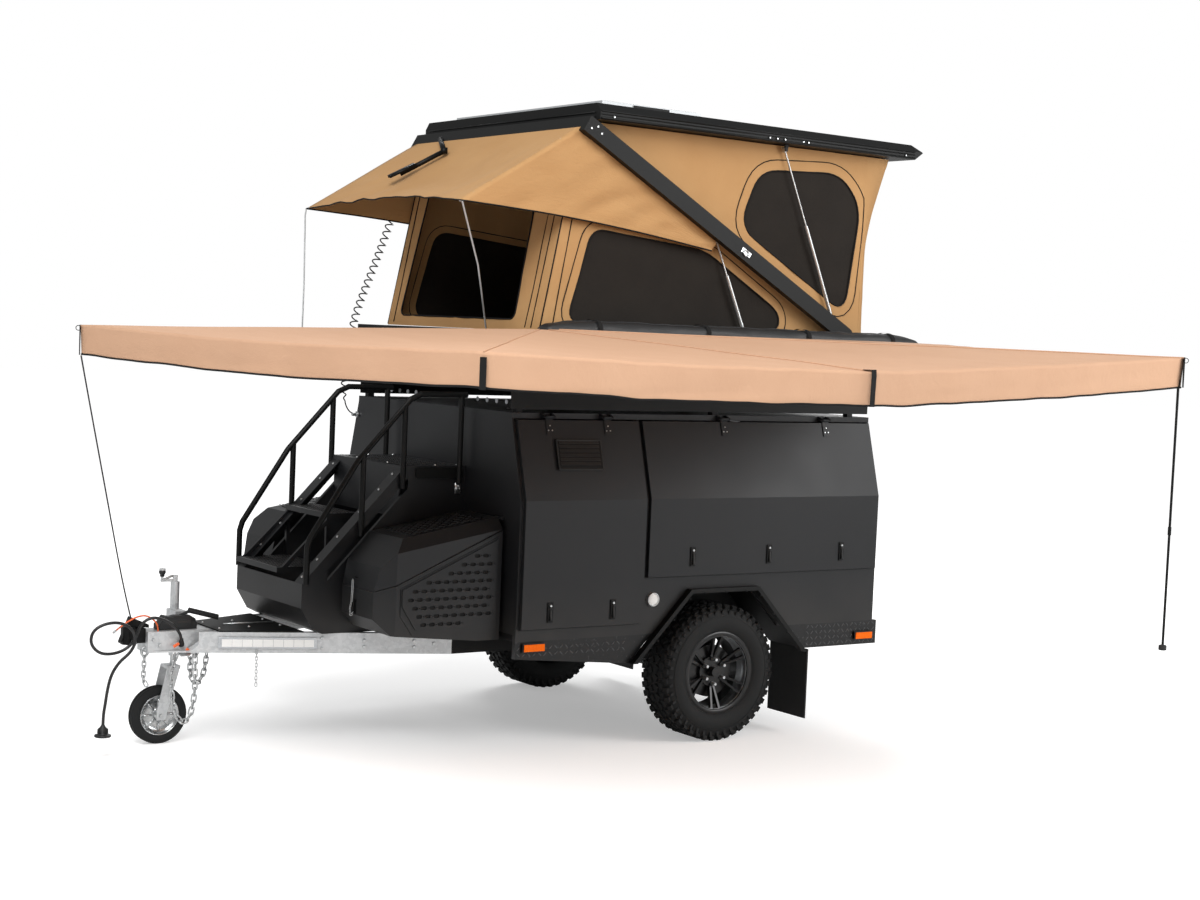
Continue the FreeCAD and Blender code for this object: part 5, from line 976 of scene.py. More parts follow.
# Gussets of the same plate close the skirts against the feet of the arch flares.
gusset_outlines = ([(-0.661, 0.486), (-0.637, 0.486), (-0.4896, 0.642), (-0.514, 0.642)],
                   [(0.594, 0.500), (0.618, 0.500), (0.618, 0.642), (0.459, 0.642)])
gussets = [slab([at(x, side * 0.989, z) for x, z in outline][::-side], 0.006)
           for side, mark in both_sides for outline in gusset_outlines]
piece("skirt_gussets", merged(gussets), tread_black, "chassis")

# Splash panels of black steel run on from the wheel boxes under the floor, ahead of and behind each wheel.
splash_inner, splash_outer, splash_top = 0.705, 0.987, 0.640
panels = []
for side, mark in both_sides:
    for high_x, low_x, low_z in ((0.4608, 0.592, 0.502), (-0.4896, -0.635, 0.488)):
        outline = ((high_x, splash_inner, splash_top), (high_x, splash_outer, splash_top),
                   (low_x, splash_outer, low_z), (low_x, splash_inner, low_z))
        panels.append(slab([at(x, side * y, z) for x, y, z in outline], 0.003))
piece("splash_panels", merged(panels), satin_black, "chassis")


def inside(x, z, outline):
    """Whether a flat point lies within an outline."""
    hit = False
    for (x0, z0), (x1, z1) in zip(outline, outline[1:] + outline[:1]):
        if (z0 > z) != (z1 > z) and x < x0 + (x1 - x0) * (z - z0) / (z1 - z0):
            hit = not hit
    return hit


def lozenges(name, outline, place, sizes, skin, body):
    """Raised lozenges in crossed pairs over a flat outline; place turns a flat point into one in space."""
    pitch, long, wide, rise = sizes
    top_share, sunk = 0.55, -0.0002
    corners = ((-1, 0), (-0.55, -0.8), (0, -1), (0.55, -0.8), (1, 0), (0.55, 0.8), (0, 1), (-0.55, 0.8))
    parts = []
    (low_x, high_x), (low_z, high_z) = [(min(line), max(line)) for line in zip(*outline)]
    for i in range(int((high_x - low_x) / pitch) + 1):
        for j in range(int((high_z - low_z) / pitch) + 1):
            x, z = low_x + (i + 0.5) * pitch, low_z + (j + 0.5) * pitch
            turn = math.pi / 4 if (i + j) % 2 else -math.pi / 4
            c, s = math.cos(turn), math.sin(turn)
            ring = [(x + c * a * long - s * b * wide, z + s * a * long + c * b * wide) for a, b in corners]
            if all(inside(u, v, outline) for u, v in ring):
                foot = [place(u, v, sunk) for u, v in ring]
                top = [place(x + (u - x) * top_share, z + (v - z) * top_share, rise) for u, v in ring]
                parts.append((foot + top, grid(2, 8, round_wide=True) + [tuple(range(8, 16))]))
    return piece(name, merged(parts), skin, body)


skirt_grip, pad_grip = (0.034, 0.0155, 0.0040, 0.0016), (0.036, 0.0165, 0.0075, 0.0030)
step_grip, platform_grip = (0.024, 0.0105, 0.0040, 0.0026), (0.030, 0.0125, 0.0046, 0.0024)
skirts = {"front": [(-1.376, 0.552), (-0.664, 0.552), (-0.664, 0.637), (-1.376, 0.637)],
          "rear": [(0.622, 0.504), (1.172, 0.504), (1.172, 0.637), (0.622, 0.637)]}
for side, mark in both_sides:
    for name, outline in skirts.items():
        lozenges("tread_" + name + "_" + mark, outline,
                 lambda x, z, rise: at(x, side * (body_half + rise), z),
                 skirt_grip, tread_bare, "chassis")

# Tool boxes: folded steel under the same coat, with a slotted side panel on each, a grip pad on the
# lid, a rubber lip along the joint, and an over-centre latch on the front with its safety chain.
box_front_x, box_rear_x, joint_front_z, joint_rear_z = -2.130, -1.412, 0.907, 1.225


def joint_at(x):
    """The height of the joint between a box and its lid."""
    return joint_front_z + (joint_rear_z - joint_front_z) * (x - box_front_x) / (box_rear_x - box_front_x)


panel_outline = [(-2.008, joint_at(-2.008) - 0.034), (-2.008, 0.842), (-1.926, 0.716), (-1.604, 0.716),
                 (-1.586, 0.750), (-1.444, 0.750), (-1.444, joint_at(-1.444) - 0.034)]
slot_pitch, row_pitch, slot_radius, slot_straight, hole_radius = 0.0520, 0.0440, 0.0100, 0.0080, 0.0038
# the last of these is where the sheet of painted shade behind the slots stands
panel_front, panel_back, shade_sheet_front = 0.8905, 0.8855, 0.8848


def filled(outlines):
    """A flat mesh over an outline and its holes."""
    mesh = bmesh.new()
    edges = []
    for loop in outlines:
        verts = [mesh.verts.new((u, v, 0)) for u, v in loop]
        edges += [mesh.edges.new((verts[k], verts[(k + 1) % len(verts)])) for k in range(len(verts))]
    bmesh.ops.triangle_fill(mesh, use_beauty=True, edges=edges)
    return mesh


def flat_cells(mesh):
    """A flat mesh's points and faces; the mesh is used up."""
    mesh.verts.index_update()
    flat = [(v.co.x, v.co.y) for v in mesh.verts]
    cells = [tuple(v.index for v in face.verts) for face in mesh.faces]
    mesh.free()
    return flat, cells


def slotted_panel(name, side):
    """A thin panel with staggered rows of long slots and small round holes pressed through it."""
    loops = [list(panel_outline)]
    for j in range(11):
        for i in range(12):
            x = -1.985 + i * slot_pitch + (slot_pitch / 2 if j % 2 else 0.0)
            z = 0.742 + j * row_pitch
            angles = [math.pi * (2 * k + 1) / 12 for k in range(12)]
            if all(inside(x + 0.024 * a, z + 0.016 * b, panel_outline) for a in (-1, 1) for b in (-1, 1)):
                loops.append([(x + math.copysign(slot_straight, math.cos(a)) + slot_radius * math.cos(a),
                               z + slot_radius * math.sin(a)) for a in angles])
                hole = [(x + slot_pitch / 2 + hole_radius * math.cos(a), z + hole_radius * math.sin(a))
                        for a in turns(6)]
                if all(inside(u + 0.004, v, panel_outline) for u, v in hole):
                    loops.append(hole)
    mesh = filled(loops)
    mesh.verts.index_update()
    rims = [(e.verts[0].index, e.verts[1].index) for e in mesh.edges if len(e.link_faces) == 1]
    flat, cells = flat_cells(mesh)
    n = len(flat)
    points = [at(x, side * y, z) for y in (panel_front, panel_back) for x, z in flat]
    faces = cells + [tuple(n + i for i in reversed(cell)) for cell in cells]
    faces += [(a, b, n + b, n + a) for a, b in rims]
    return piece(name, (points, faces), charcoal, "chassis")


# Painted shade behind the slots: a dead black sheet, open-grained, with hardly any shine, in place of the dark
# inside of the box seen through them.
painted_slot_shade = grained(
    "painted_shade_behind_slots", ("#050505", "#101010"), {"Scale": 900.0}, 0.95, kind="Voronoi",
    height="Distance")
lid_slope, pad_x0, pad_y0, pad_y1 = 0.1812, -1.920, 0.512, 0.816
for side, mark in both_sides:
    lid = "box_lid_" + mark
    slotted_panel("slotted_panel_" + mark, side)
    # painted shade: a dead black sheet just behind the slots stands for the dark inside of the box seen through
    # them
    shade_sheet = slab([at(x, side * shade_sheet_front, z) for x, z in panel_outline], 0.0006)
    piece("panel_shade_sheet_" + mark, shade_sheet, painted_slot_shade, "chassis")
    lip = rounded_bar([at(-1.416, side * 0.8805, joint_at(-1.416) - 0.001),
                       at(-2.040, side * 0.8805, joint_at(-2.040) - 0.001),
                       at(-2.1285, side * 0.7985, 0.9075), at(-2.1285, side * 0.452, 0.9075)], 0.0032, 8)
    piece("box_lip_" + mark, lip, rubber_seal, "chassis", smooth=True)
    pad = [(-1.918, side * pad_y0), (-1.474, side * pad_y0), (-1.474, side * pad_y1), (-1.918, side * pad_y1)]
    lozenges("pad_grips_" + mark, pad[::side],
             lambda x, y, rise: at(x, y, 1.2029 + (x - pad_x0) * lid_slope + rise),
             pad_grip, tread_black, lid)
    heads = [at(x, side * y, 1.2032 + (x - pad_x0) * lid_slope) for x in (-1.908, -1.484)
             for y in (0.520, 0.664, 0.808)]
    bolted("pad_screws_" + mark, heads, Vector((-0.178, 0, 0.984)), 0.005, 0.003, satin_black, lid, sides=12)
    y = side * 0.600
    lever = ((-0.009, 0.780), (0.009, 0.780), (0.011, 0.838), (-0.011, 0.838))
    latch = [plate(lambda dy, z: at(-2.1315, y + dy, z), -0.016, 0.016, 0.772, 0.850, 0.003),
             slab([at(-2.1440, y + dy, z) for dy, z in lever], 0.020)]
    eased(piece("latch_body_" + mark, merged(latch), satin_black, "chassis"), 0.002)
    hook = ((-2.1270, -0.013, 0.962), (-2.1400, -0.011, 0.966), (-2.1400, 0.011, 0.966),
            (-2.1270, 0.013, 0.962))
    keeper = [plate(lambda dy, z: at(-2.1305 + (z - joint_front_z) * 0.197, y + dy, z),
                    -0.014, 0.014, 0.918, 0.972, 0.003),
              rounded_bar([at(x, y + dy, z) for x, dy, z in hook], 0.003, 8)]
    piece("latch_keeper_" + mark, merged(keeper), satin_black, lid)
    loop = ((-2.1490, -0.007, 0.836), (-2.1465, -0.0075, 0.945), (-2.1465, 0, 0.956),
            (-2.1465, 0.0075, 0.945), (-2.1490, 0.007, 0.836))
    piece("latch_loop_" + mark, rounded_bar([at(x, y + dy, z) for x, dy, z in loop], 0.0021, 8), plated_steel,
          "chassis", smooth=True)
    hang = ((-2.1500, 0.004, 0.830), (-2.1520, 0.010, 0.800), (-2.1500, 0.004, 0.768),
            (-2.1450, -0.004, 0.778))
    chain("latch_chain_" + mark, [at(x, y + dy, z) for x, dy, z in hang], 0.0115, 0.0082, 0.0042, 0.0012)

# Stair: two steel fairings with grip treads bolted between them. Round-headed bright bolts pin the
# bands and the platform; rubber-faced grips cover the treads, and a blank plate closes the near side.
slope_normal = Vector((-0.7233, 0, 0.6905))
spots = [at(-2.345 + 0.568 * share, side * 0.352, 0.910 + 0.595 * share) + slope_normal * 0.0015
         for side, mark in both_sides for share in (0.05, 0.20, 0.40, 0.62, 0.82, 0.96)]
bolted("band_bolts", spots, slope_normal, 0.0075, 0.0045, plated_steel, "chassis", sides=16)
spots = [at(x, side * y, 1.5315) for side, mark in both_sides
         for x, y in ((-1.740, 0.370), (-1.560, 0.392), (-1.410, 0.370), (-1.740, 0.180))]
bolted("platform_bolts", spots, Vector((0, 0, 1)), 0.0075, 0.0045, plated_steel, "chassis", sides=16)
grips = (("step_grips_low", -2.352, -2.060, -0.122, 0.378, 0.9652, step_grip, rubber_seal, "rubber"),
         ("step_grips_high", -2.064, -1.892, -0.122, 0.378, 1.2502, step_grip, rubber_seal, "rubber"),
         ("platform_grips", -1.735, -1.400, -0.330, 0.330, 1.5302, platform_grip, tread_black, "tread_plate"))
for name, x0, x1, y0, y1, top, sizes, skin, slot in grips:
    lozenges(name, [(x0, y0), (x1, y0), (x1, y1), (x0, y1)], lambda x, y, rise: at(x, y, top + rise), sizes,
             skin, "chassis")
blank = [(-1.685, 1.462), (-1.405, 1.462), (-1.397, 1.470), (-1.397, 1.512), (-1.405, 1.520), (-1.685, 1.520),
         (-1.693, 1.512), (-1.693, 1.470)]
eased(piece("blank_plate", slab([at(x, -0.4145, z) for x, z in blank], 0.007), satin_black, "chassis"), 0.0015)
rim_inset = 0.006
rim = [at(x + (rim_inset if x < -1.5 else -rim_inset), -0.4186, z + (rim_inset if z < 1.49 else -rim_inset))
       for x, z in blank]
piece("plate_rim", rounded_bar(rim, 0.0011, 6, close=True), bright_alloy, "chassis", smooth=True)
latch_parts = [plate(lambda x, z: at(x, -0.4125, z), -1.444, -1.412, 1.378, 1.438, 0.004),
               rounded_bar([at(-1.428, -0.411, 1.420), at(-1.428, -0.432, 1.420)], 0.0075, 14),
               rounded_bar([at(-1.428, -0.428, 1.424), at(-1.420, -0.430, 1.388)], 0.0038, 10)]
piece("stair_latch", merged(latch_parts), plated_steel, "chassis", smooth=True)

# Roof rack dressing: bright eyelets in the front cross plate, a plated clamp tube along its near
# corner, and the screws through the flares of the arches.
spots = [at(-1.3805, y, 1.905) for y in (-0.815, -0.715, -0.615, -0.515, 0.171, 0.268, 0.365, 0.462)]
bolted("rack_eyelets", spots, Vector((-1, 0, 0)), 0.0135, 0.003, bright_alloy, "chassis", sides=24,
       crown=0.95)
clamp_tube = rounded_bar([at(-1.374, -0.72, 1.992), at(-1.374, -0.30, 1.992)], 0.0125, 16)
piece("rack_clamp_tube", clamp_tube, bright_alloy, "chassis", smooth=True)
flare_screws = [place for share in (0.08, 0.36, 0.64, 0.92)
                for place in ((-0.615 + 0.381 * share, 0.465 + 0.398 * share),
                              (0.585 - 0.378 * share, 0.465 + 0.398 * share))]
flare_screws += [(x, 0.861) for x in (-0.160, -0.014, 0.132)]
for side, mark in both_sides:
    bolted("flare_screws_" + mark, [at(x, side * 1.0405, z) for x, z in flare_screws], Vector((0, side, 0)),
           0.0055, 0.0035, satin_black, "chassis", sides=12)


# Tent: poly-cotton canvas sewn over a folding frame. Walls are cut with their windows, pulled tight
# between base, frame and shell, and bound with black piping; dark mesh fills the windows.
def woven(name, pale, deep, thread, rough=0.85, shine=0.25):
    """A woven cloth read from the cloth's own layout: threads, a coarser check, mottling and soft creases."""
    skin, tree, shader = finish(name)
    flat = add(tree, "ShaderNodeTexCoord").outputs["UV"]
    mottle = add(tree, "ShaderNodeTexNoise", {"Vector": flat, "Scale": 3.5, "Detail": 6.0}).outputs["Fac"]
    threads = [add(tree, "ShaderNodeTexWave", {"Vector": flat, "Scale": thread, "Distortion": 0.3},
                   bands_direction=way).outputs["Fac"] for way in "XY"]
    creases = add(tree, "ShaderNodeTexNoise", {"Vector": flat, "Scale": 16.0, "Detail": 3.0,
                                               "Distortion": 0.8})
    fine = bumped(tree, maths(tree, "MULTIPLY", *threads), 0.35, 0.0004)
    broad = bumped(tree, creases.outputs["Fac"], 0.35, 0.006, Normal=fine)
    dressed(tree, shader, {"Base Color": toned(tree, mottle, (deep, pale)), "Normal": broad,
                           "Roughness": rough, "Specular IOR Level": shine})
    return skin


# Tent canvas is a heavy khaki poly-cotton; the awning's is lighter and paler. The black kinds are the
# piping, the bag's coated cloth and the dark window mesh.
tent_canvas = woven("khaki_poly_cotton_canvas", "#b89163", "#aa8154", 420.0)
awning_canvas = woven("pale_tan_awning_canvas", "#c8a184", "#c0987b", 420.0)
black_tape = woven("black_piping_tape", "#191919", "#101010", 700.0)
bag_cloth = woven("black_coated_bag_cloth", "#222324", "#161617", 300.0, rough=0.5, shine=0.5)
window_mesh = woven("dark_insect_mesh", "#241f1a", "#171310", 500.0)


def laid_out(obj, flat):
    """Writes each point's place on the flat cloth, in metres, as its UV."""
    layer = obj.data.uv_layers.new(name="flat_cloth")
    for loop in obj.data.loops:
        layer.data[loop.index].uv = flat[loop.vertex_index]
    return obj


def softened(outline, radius, steps=6):
    """An outline with its corners drawn round."""
    made = []
    for k, here in enumerate(outline):
        before, after = Vector(outline[k - 1]), Vector(outline[(k + 1) % len(outline)])
        here = Vector(here)
        back, on = before - here, after - here
        start = here + back.normalized() * min(radius, back.length * 0.45)
        end = here + on.normalized() * min(radius, on.length * 0.45)
        for t in [i / steps for i in range(steps + 1)]:
            made.append(tuple(start * (1 - t) ** 2 + here * 2 * t * (1 - t) + end * t * t))
    return made


def grown_outline(outline, out):
    """An outline moved out from its own middle line by a distance."""
    following = outline[1:] + outline[:1]
    turn_sum = sum(a[0] * b[1] - b[0] * a[1] for a, b in zip(outline, following))
    reach = out if turn_sum > 0 else -out
    made = []
    for k, (x, z) in enumerate(outline):
        run = (Vector(following[k]) - Vector(outline[k - 1])).normalized()
        made.append((x + run.y * reach, z - run.x * reach))
    return made


def cut_cloth(outlines, step):
    """A flat cloth from its outline and holes, cut into small cells so that it can crease."""
    mesh = filled(outlines)
    for axis, normal in enumerate(((1, 0, 0), (0, 1, 0))):
        low, high = min(p[axis] for p in outlines[0]), max(p[axis] for p in outlines[0])
        for k in range(1, int((high - low) / step)):
            bmesh.ops.bisect_plane(mesh, geom=mesh.verts[:] + mesh.edges[:] + mesh.faces[:],
                                   plane_co=[(low + k * step) * share for share in normal], plane_no=normal)
    return flat_cells(mesh)


def cloth(name, points, faces, flat, skin, body="chassis", slot="tent_canvas"):
    """A smooth piece of cloth with its flat layout."""
    return laid_out(piece(name, (points, faces), skin, body, smooth=True), flat)


def piped(name, lines):
    """Black piping, tape or webbing along several lines."""
    return piece(name, merged(lines), black_tape, "chassis", smooth=True)


# The tent's own places: half its width, its foot on the base, its rear edge's foot and head, the front
# wall's foot and head, and where the walls meet the shell at the rear.
tent_half, foot_z, rear_x, waist_x, shell_z = 0.8455, 2.284, 1.045, 1.068, 3.4005
front_foot, front_head, rear_head = (-1.218, foot_z), (-1.009, 3.341), (1.222, 3.398)
rear_edge = [rear_head, (1.168, 3.250), (1.122, 3.110), (1.090, 2.985), (1.072, 2.880), (waist_x, 2.600),
             (waist_x, foot_z)]
wall_outline = [front_foot, front_head, (-0.968, 3.322), (-0.926, 3.398), (-0.910, 3.424), (rear_x, shell_z),
                (rear_x, foot_z)]
upper_window = softened(
    [(0.111, 2.927), (0.241, 3.259), (0.844, 3.286), (1.020, 3.107), (0.927, 2.464)], 0.13)
lower_window = softened(
    [(-0.902, 2.855), (-1.040, 2.345), (0.430, 2.345), (0.430, 2.452), (-0.123, 2.776)], 0.09)


def crease(u, v, size=0.006):
    """How far pulled cloth lifts: long soft creases that run up and down, broken by smaller ones."""
    return size * (noise.noise((u * 7.0, v * 2.0, 3.1)) + 0.5 * noise.noise((u * 19.0, v * 8.0, 7.7)))


def on_wall(x, z, side, proud=0.0):
    """A point on the tent's side wall."""
    return at(x, side * (tent_half + crease(x + side, z) + proud), z)


def fold_down(obj):
    """Gives a tent part its own copy of its mesh."""
    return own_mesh(obj)


cell = 0.045
wall_cloth = cut_cloth([wall_outline, upper_window, lower_window], cell)
screen_cloths = [cut_cloth([grown_outline(window, 0.012)], cell) for window in (upper_window, lower_window)]
upper_seam = [(min(x, 1.043), z) for x, z in grown_outline(upper_window, 0.062) if z > 2.42]
lower_seam = [(x, z) for x, z in grown_outline(lower_window, 0.055) if z > 2.30]
front_seam = ((-1.135, 2.300), (-1.090, 2.560), (-1.040, 2.860), (-0.990, 3.150))
front_edge = ((-1.216, 2.290), (-1.150, 2.620), (-1.078, 2.990), (-1.011, 3.335))
# each line of piping: its points, how proud it stands, its radius and whether it closes on itself
wall_piping = ((upper_window, 0.0012, 0.0042, True), (lower_window, 0.0012, 0.0042, True),
               (upper_seam, 0.0012, 0.0030, True), (lower_seam, 0.0012, 0.0030, True),
               (front_seam, 0.0012, 0.0030, False), (front_edge, 0.0005, 0.0040, False))
for side, mark in both_sides:
    flat, cells = wall_cloth
    wall = cloth("side_wall_cloth_" + mark, [on_wall(x, z, side) for x, z in flat],
                 [cell[::-side] for cell in cells], flat, tent_canvas)
    fold_down(wall)
    points, cells = merged([([on_wall(x, z, side, -0.0035) for x, z in flat],
                             [cell[::-side] for cell in cells])
                            for flat, cells in screen_cloths])
    spots = [spot for flat, cells in screen_cloths for spot in flat]
    screen = cloth("window_mesh_" + mark, points, cells, spots, window_mesh, slot="mesh")
    fold_down(screen)
    if side < 0:
        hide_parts("tent_cloth")
        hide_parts("tent_mesh")
    lines = [rounded_bar([on_wall(x, z, side, proud) for x, z in line], radius, 6, close)
             for line, proud, radius, close in wall_piping]
    fold_down(piped("tent_piping_" + mark, lines))

# Rear wall with its wrapped corners: one cloth, straight up from the base to the waist, then swept out
# to the shell's rear edge.
rows = [Vector(p) for p in reversed(softened(rear_edge, 0.10, 3)[2:-2])]
rows = [Vector((waist_x, foot_z))] + rows + [Vector(rear_head)]
columns = 34
across = [(-tent_half, 0.0)]
across += [(0.03 - tent_half + (1.631 * k / columns), 0.006 * math.sin(math.pi * k / columns))
           for k in range(columns + 1)]
across += [(tent_half, 0.0)]


def rear_point(y, row, bulge=0.0, proud=0.0):
    """A point on the tent's rear wall, which creases a little between its foot and its head."""
    return Vector((row.x + bulge * 0.8 + crease(y * 1.3 + 5, row.y) + proud, y))


points, flat = [], []
run = 0.0
wide = len(across) + 2
for k, row in enumerate(rows):
    run += (row - rows[k - 1]).length if k else 0.0
    corner_z = row.y if k < len(rows) - 1 else shell_z
    strip = [(*rear_point(y, row, bulge), row.y) for y, bulge in across]
    near_corner, far_corner = (at(rear_x, y, corner_z) for y in (-tent_half, tent_half))
    points += [near_corner] + [at(*spot) for spot in strip] + [far_corner]
    for x, y in [(rear_x, -tent_half)] + [spot[:2] for spot in strip] + [(rear_x, tent_half)]:
        wrap = math.copysign(x - rear_x, y) if abs(y) > 0.84 else 0.0
        flat.append((y + wrap, run))
rear_cloth = cloth("rear_wall_cloth", points, grid(len(rows), wide), flat, tent_canvas)
seams = [rounded_bar([at(*rear_point(y, row, 0.004, 0.001), row.y) for row in rows], 0.0026, 6)
         for y in (-0.560, 0.560)]
seams += [rounded_bar([at(*rear_point(0.83 * k / 20, row, 0.003, 0.001), row.y) for k in range(-20, 21)],
                      0.0026, 6)
          for row in (rows[1], rows[len(rows) // 2])]
for part in (rear_cloth, piped("rear_wall_seams", seams)):
    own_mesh(part)

# Front wall: canvas round a wide doorway, with a rolled door tied under its head, and piping along
# the doorway's sides.
front_run = Vector(front_head) - Vector(front_foot)
door_hole = softened([(-0.580, 0.062), (0.710, 0.062), (0.660, 0.915), (-0.530, 0.915)], 0.05)


def on_front(y, rise, proud=0.0):
    """A point on the tent's front wall, counted up the slope from its foot."""
    foot = Vector(front_foot) + front_run * (rise / front_run.length)
    return at(foot.x - proud - crease(y * 1.4 + 9, rise), y, foot.y)


front_outline = [(-tent_half, 0.0), (tent_half, 0.0), (tent_half, front_run.length),
                 (-tent_half, front_run.length)]
flat, cells = cut_cloth([front_outline, door_hole], 0.05)
front_cloth = cloth("front_wall_cloth", [on_front(y, rise) for y, rise in flat],
                    [cell[::-1] for cell in cells], flat, tent_canvas)
fold_down(front_cloth)
lines = [rounded_bar([on_front(y, rise, 0.001) for y, rise in door_hole], 0.0045, 6, close=True)]
lines += [rounded_bar([on_front(y, rise, 0.001) for rise in (0.02, 0.25, 0.5, 0.75, 1.0)], 0.0032, 6)
          for y in (-0.700, -0.765, 0.775)]
fold_down(piped("front_piping", lines))
roll = [on_front(-0.560 + 0.0318 * k, 0.925 + 0.010 * noise.noise((k * 0.7, 1.0, 0.0)), -0.030)
        for k in range(40)]
points, faces = rounded_bar(roll, 0.034, 14)
rolled = cloth("rolled_door", points, faces, [(p.y, p.z) for p in points], tent_canvas)
fold_down(rolled)

# Ceiling: a plain lined sheet under the shell, which it follows.
lining_x, lining_long, lining_wide, lining_sag = -0.905, 2.125, 2 * tent_half, 0.012
flat = [(lining_x + lining_long * i / 24, -tent_half + lining_wide * j / 16) for i in range(25)
        for j in range(17)]
points = [at(x, y, 3.4225 - (x - lining_x) * 0.0122
             - lining_sag * math.sin(math.pi * (x - lining_x) / lining_long)
             * math.sin(math.pi * (y + tent_half) / lining_wide)) for x, y in flat]
ceiling = cloth("ceiling_cloth", points, [face[::-1] for face in grid(25, 17)], flat, tent_canvas,
                "tent_shell")


# Fly sheet: one canvas from the front of the frame out over the doorway to two sprung rods, with a
# wing sewn on each side that runs back along the beams. Its edges pull in between the corners.
def fly_point(s, t):
    """A point of the fly: s runs from the near wing's foot round to the far one's, t from the frame out."""
    if 1 < s < 2:
        y = -0.899 + 1.798 * (s - 1)
        spot = Vector((-1.040, y, 3.384)).lerp(Vector((-1.760, y, 2.944)), t)
        pull = math.sin(math.pi * (s - 1))
        spot.x += 0.075 * pull * t ** 2
        folds = 0.013 * min(1, 3 * t) * noise.noise((y * 8, t * 2.0, 5.0))
        spot.z += 0.045 * pull * t ** 2 - 0.060 * math.sin(math.pi * t) * pull + folds
        return spot
    side, share = (-1, s) if s <= 1 else (1, 3 - s)
    root = Vector((-0.092 - 0.946 * share, 0.899 * side, 2.826 + 0.559 * share))
    edge = Vector((-0.120 - 1.640 * share, 0.899 * side, 2.776 + 0.168 * share))
    spot = root.lerp(edge, t)
    pull = math.sin(math.pi * share)
    spot.z += 0.026 * pull * t * t
    spot.y -= side * (0.020 * pull * t * (1.5 - t) + 0.010 * noise.noise((share * 12, t * 2.0, 2.0)))
    return spot


steps_s, steps_t, fly_keep, fly_floor = 120, 26, 0.003, 2.2835
shares = [(i / steps_s, j / steps_t) for i in range(steps_s + 1) for j in range(steps_t + 1)]
fly = cloth("fly_cloth", [at(*fly_point(3 * s, t)) for s, t in shares],
            [face[::-1] for face in grid(steps_s + 1, steps_t + 1)], [(3.9 * s, 0.84 * t) for s, t in shares],
            tent_canvas)
fold_down(fly)
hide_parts("fly_sheet")
fly_hem = piped("fly_hem", [rounded_bar([at(*fly_point(i / 30, 1.0)) for i in range(91)], 0.0042, 6)])
fold_down(fly_hem)
near_rod = ((-1.348, -0.520, 2.284), (-1.540, -0.730, 2.621), (-1.745, -0.893, 2.934),
            (-1.754, -0.896, 2.942), (-1.762, -0.893, 2.938))
far_rod = ((-1.748, 0.884, 2.950), (-1.760, 0.897, 2.944), (-1.764, 0.899, 2.900), (-1.758, 0.897, 2.500),
           (-1.762, 0.895, 2.090))
rods = [rounded_bar([at(*spot) for spot in rod], 0.0045, 10) for rod in (near_rod, far_rod)]
rod_pair = piece("sprung_rods", merged(rods), galvanised, "chassis", smooth=True)
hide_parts("fly_rods")
fold_down(rod_pair)

# Shell and frame: extruded aluminium, anodised and painted black. Ledges run along the shell's sides,
# plated screws hold the corners, and a plated over-centre catch sits on each beam.
cover(satin_black, "tent_shell", "tent_frame", "tent_base")
cover(plated_steel, "upper_strut_tubes", "upper_strut_rods", "lower_strut_tubes", "lower_strut_rods")
droop, shell_hinge_x, shell_hinge_z = math.radians(0.7), -0.9602, 3.4305


def on_shell(x, y, z):
    """A point on the shell, which droops a little to the rear."""
    dx, dz = x - shell_hinge_x, z - shell_hinge_z
    return at(shell_hinge_x + dx * math.cos(droop) + dz * math.sin(droop), y,
              shell_hinge_z - dx * math.sin(droop) + dz * math.cos(droop))


ledges = [rounded_bar([on_shell(-0.940, side * out, z), on_shell(1.335, side * out, z)], radius, 8)
          for side, mark in both_sides
          for z, out, radius in ((3.438, 0.9515, 0.0065), (3.459, 0.9515, 0.0035), (3.476, 0.9510, 0.0050))]
ledges += [rounded_bar([on_shell(-0.9495, -0.90, z), on_shell(-0.9495, 0.90, z)], 0.005, 8)
           for z in (3.446, 3.470)]
piece("shell_ledges", merged(ledges), satin_black, "tent_shell", smooth=True)
for side, mark in both_sides:
    heads = [on_shell(x, side * 0.9565, 3.449) for x in (0.214, 0.270, 0.326, 0.462, 0.500, -0.86, 1.26)]
    bolted("shell_screws_" + mark, heads, Vector((0, side, 0)), 0.0055, 0.003, plated_steel, "tent_shell",
           sides=12)
beam_head = -0.987, 3.383
beam_run = Vector((beam_head[0] - 0.872, 0, beam_head[1] - 2.335)).normalized()
beam_up = Vector((beam_run.z, 0, -beam_run.x))
for side, mark in both_sides:
    outward = Vector((0, side, 0))
    spot = at(0.086, side * 0.9520, 2.778)
    catch = plate(lambda a, b: spot + beam_run * a + beam_up * b, -0.036, 0.036, -0.014, 0.014, 0.003)
    ring = [spot + outward * 0.006 + beam_run * (0.020 * math.cos(a))
            + beam_up * (0.015 * math.sin(a) - 0.006) for a in turns(20)]
    piece("beam_catch_" + mark, merged([catch, rounded_bar(ring, 0.003, 8, close=True)]), plated_steel,
          "tent_frame")
    heads = [at(beam_head[0], side * 0.9505, beam_head[1]) + beam_run * a + beam_up * b
             for a, b in ((-0.02, 0.018), (0.01, -0.012), (-0.06, 0.0))]
    bolted("beam_screws_" + mark, heads, outward, 0.006, 0.003, plated_steel, "tent_frame", sides=12)

# Solar panel: an anodised frame round dark glass over blue-black cells, with a blank label on its edge.
# Natural anodising over extruded aluminium: silver grey, evenly satin, faintly drawn along its length.
anodised = grained("anodised_aluminium", ("#a9acae", "#c0c3c5"), {"Scale": 140.0, "Detail": 2.0}, 0.42,
                   Metallic=0.25)
cover(anodised, "solar_panel")
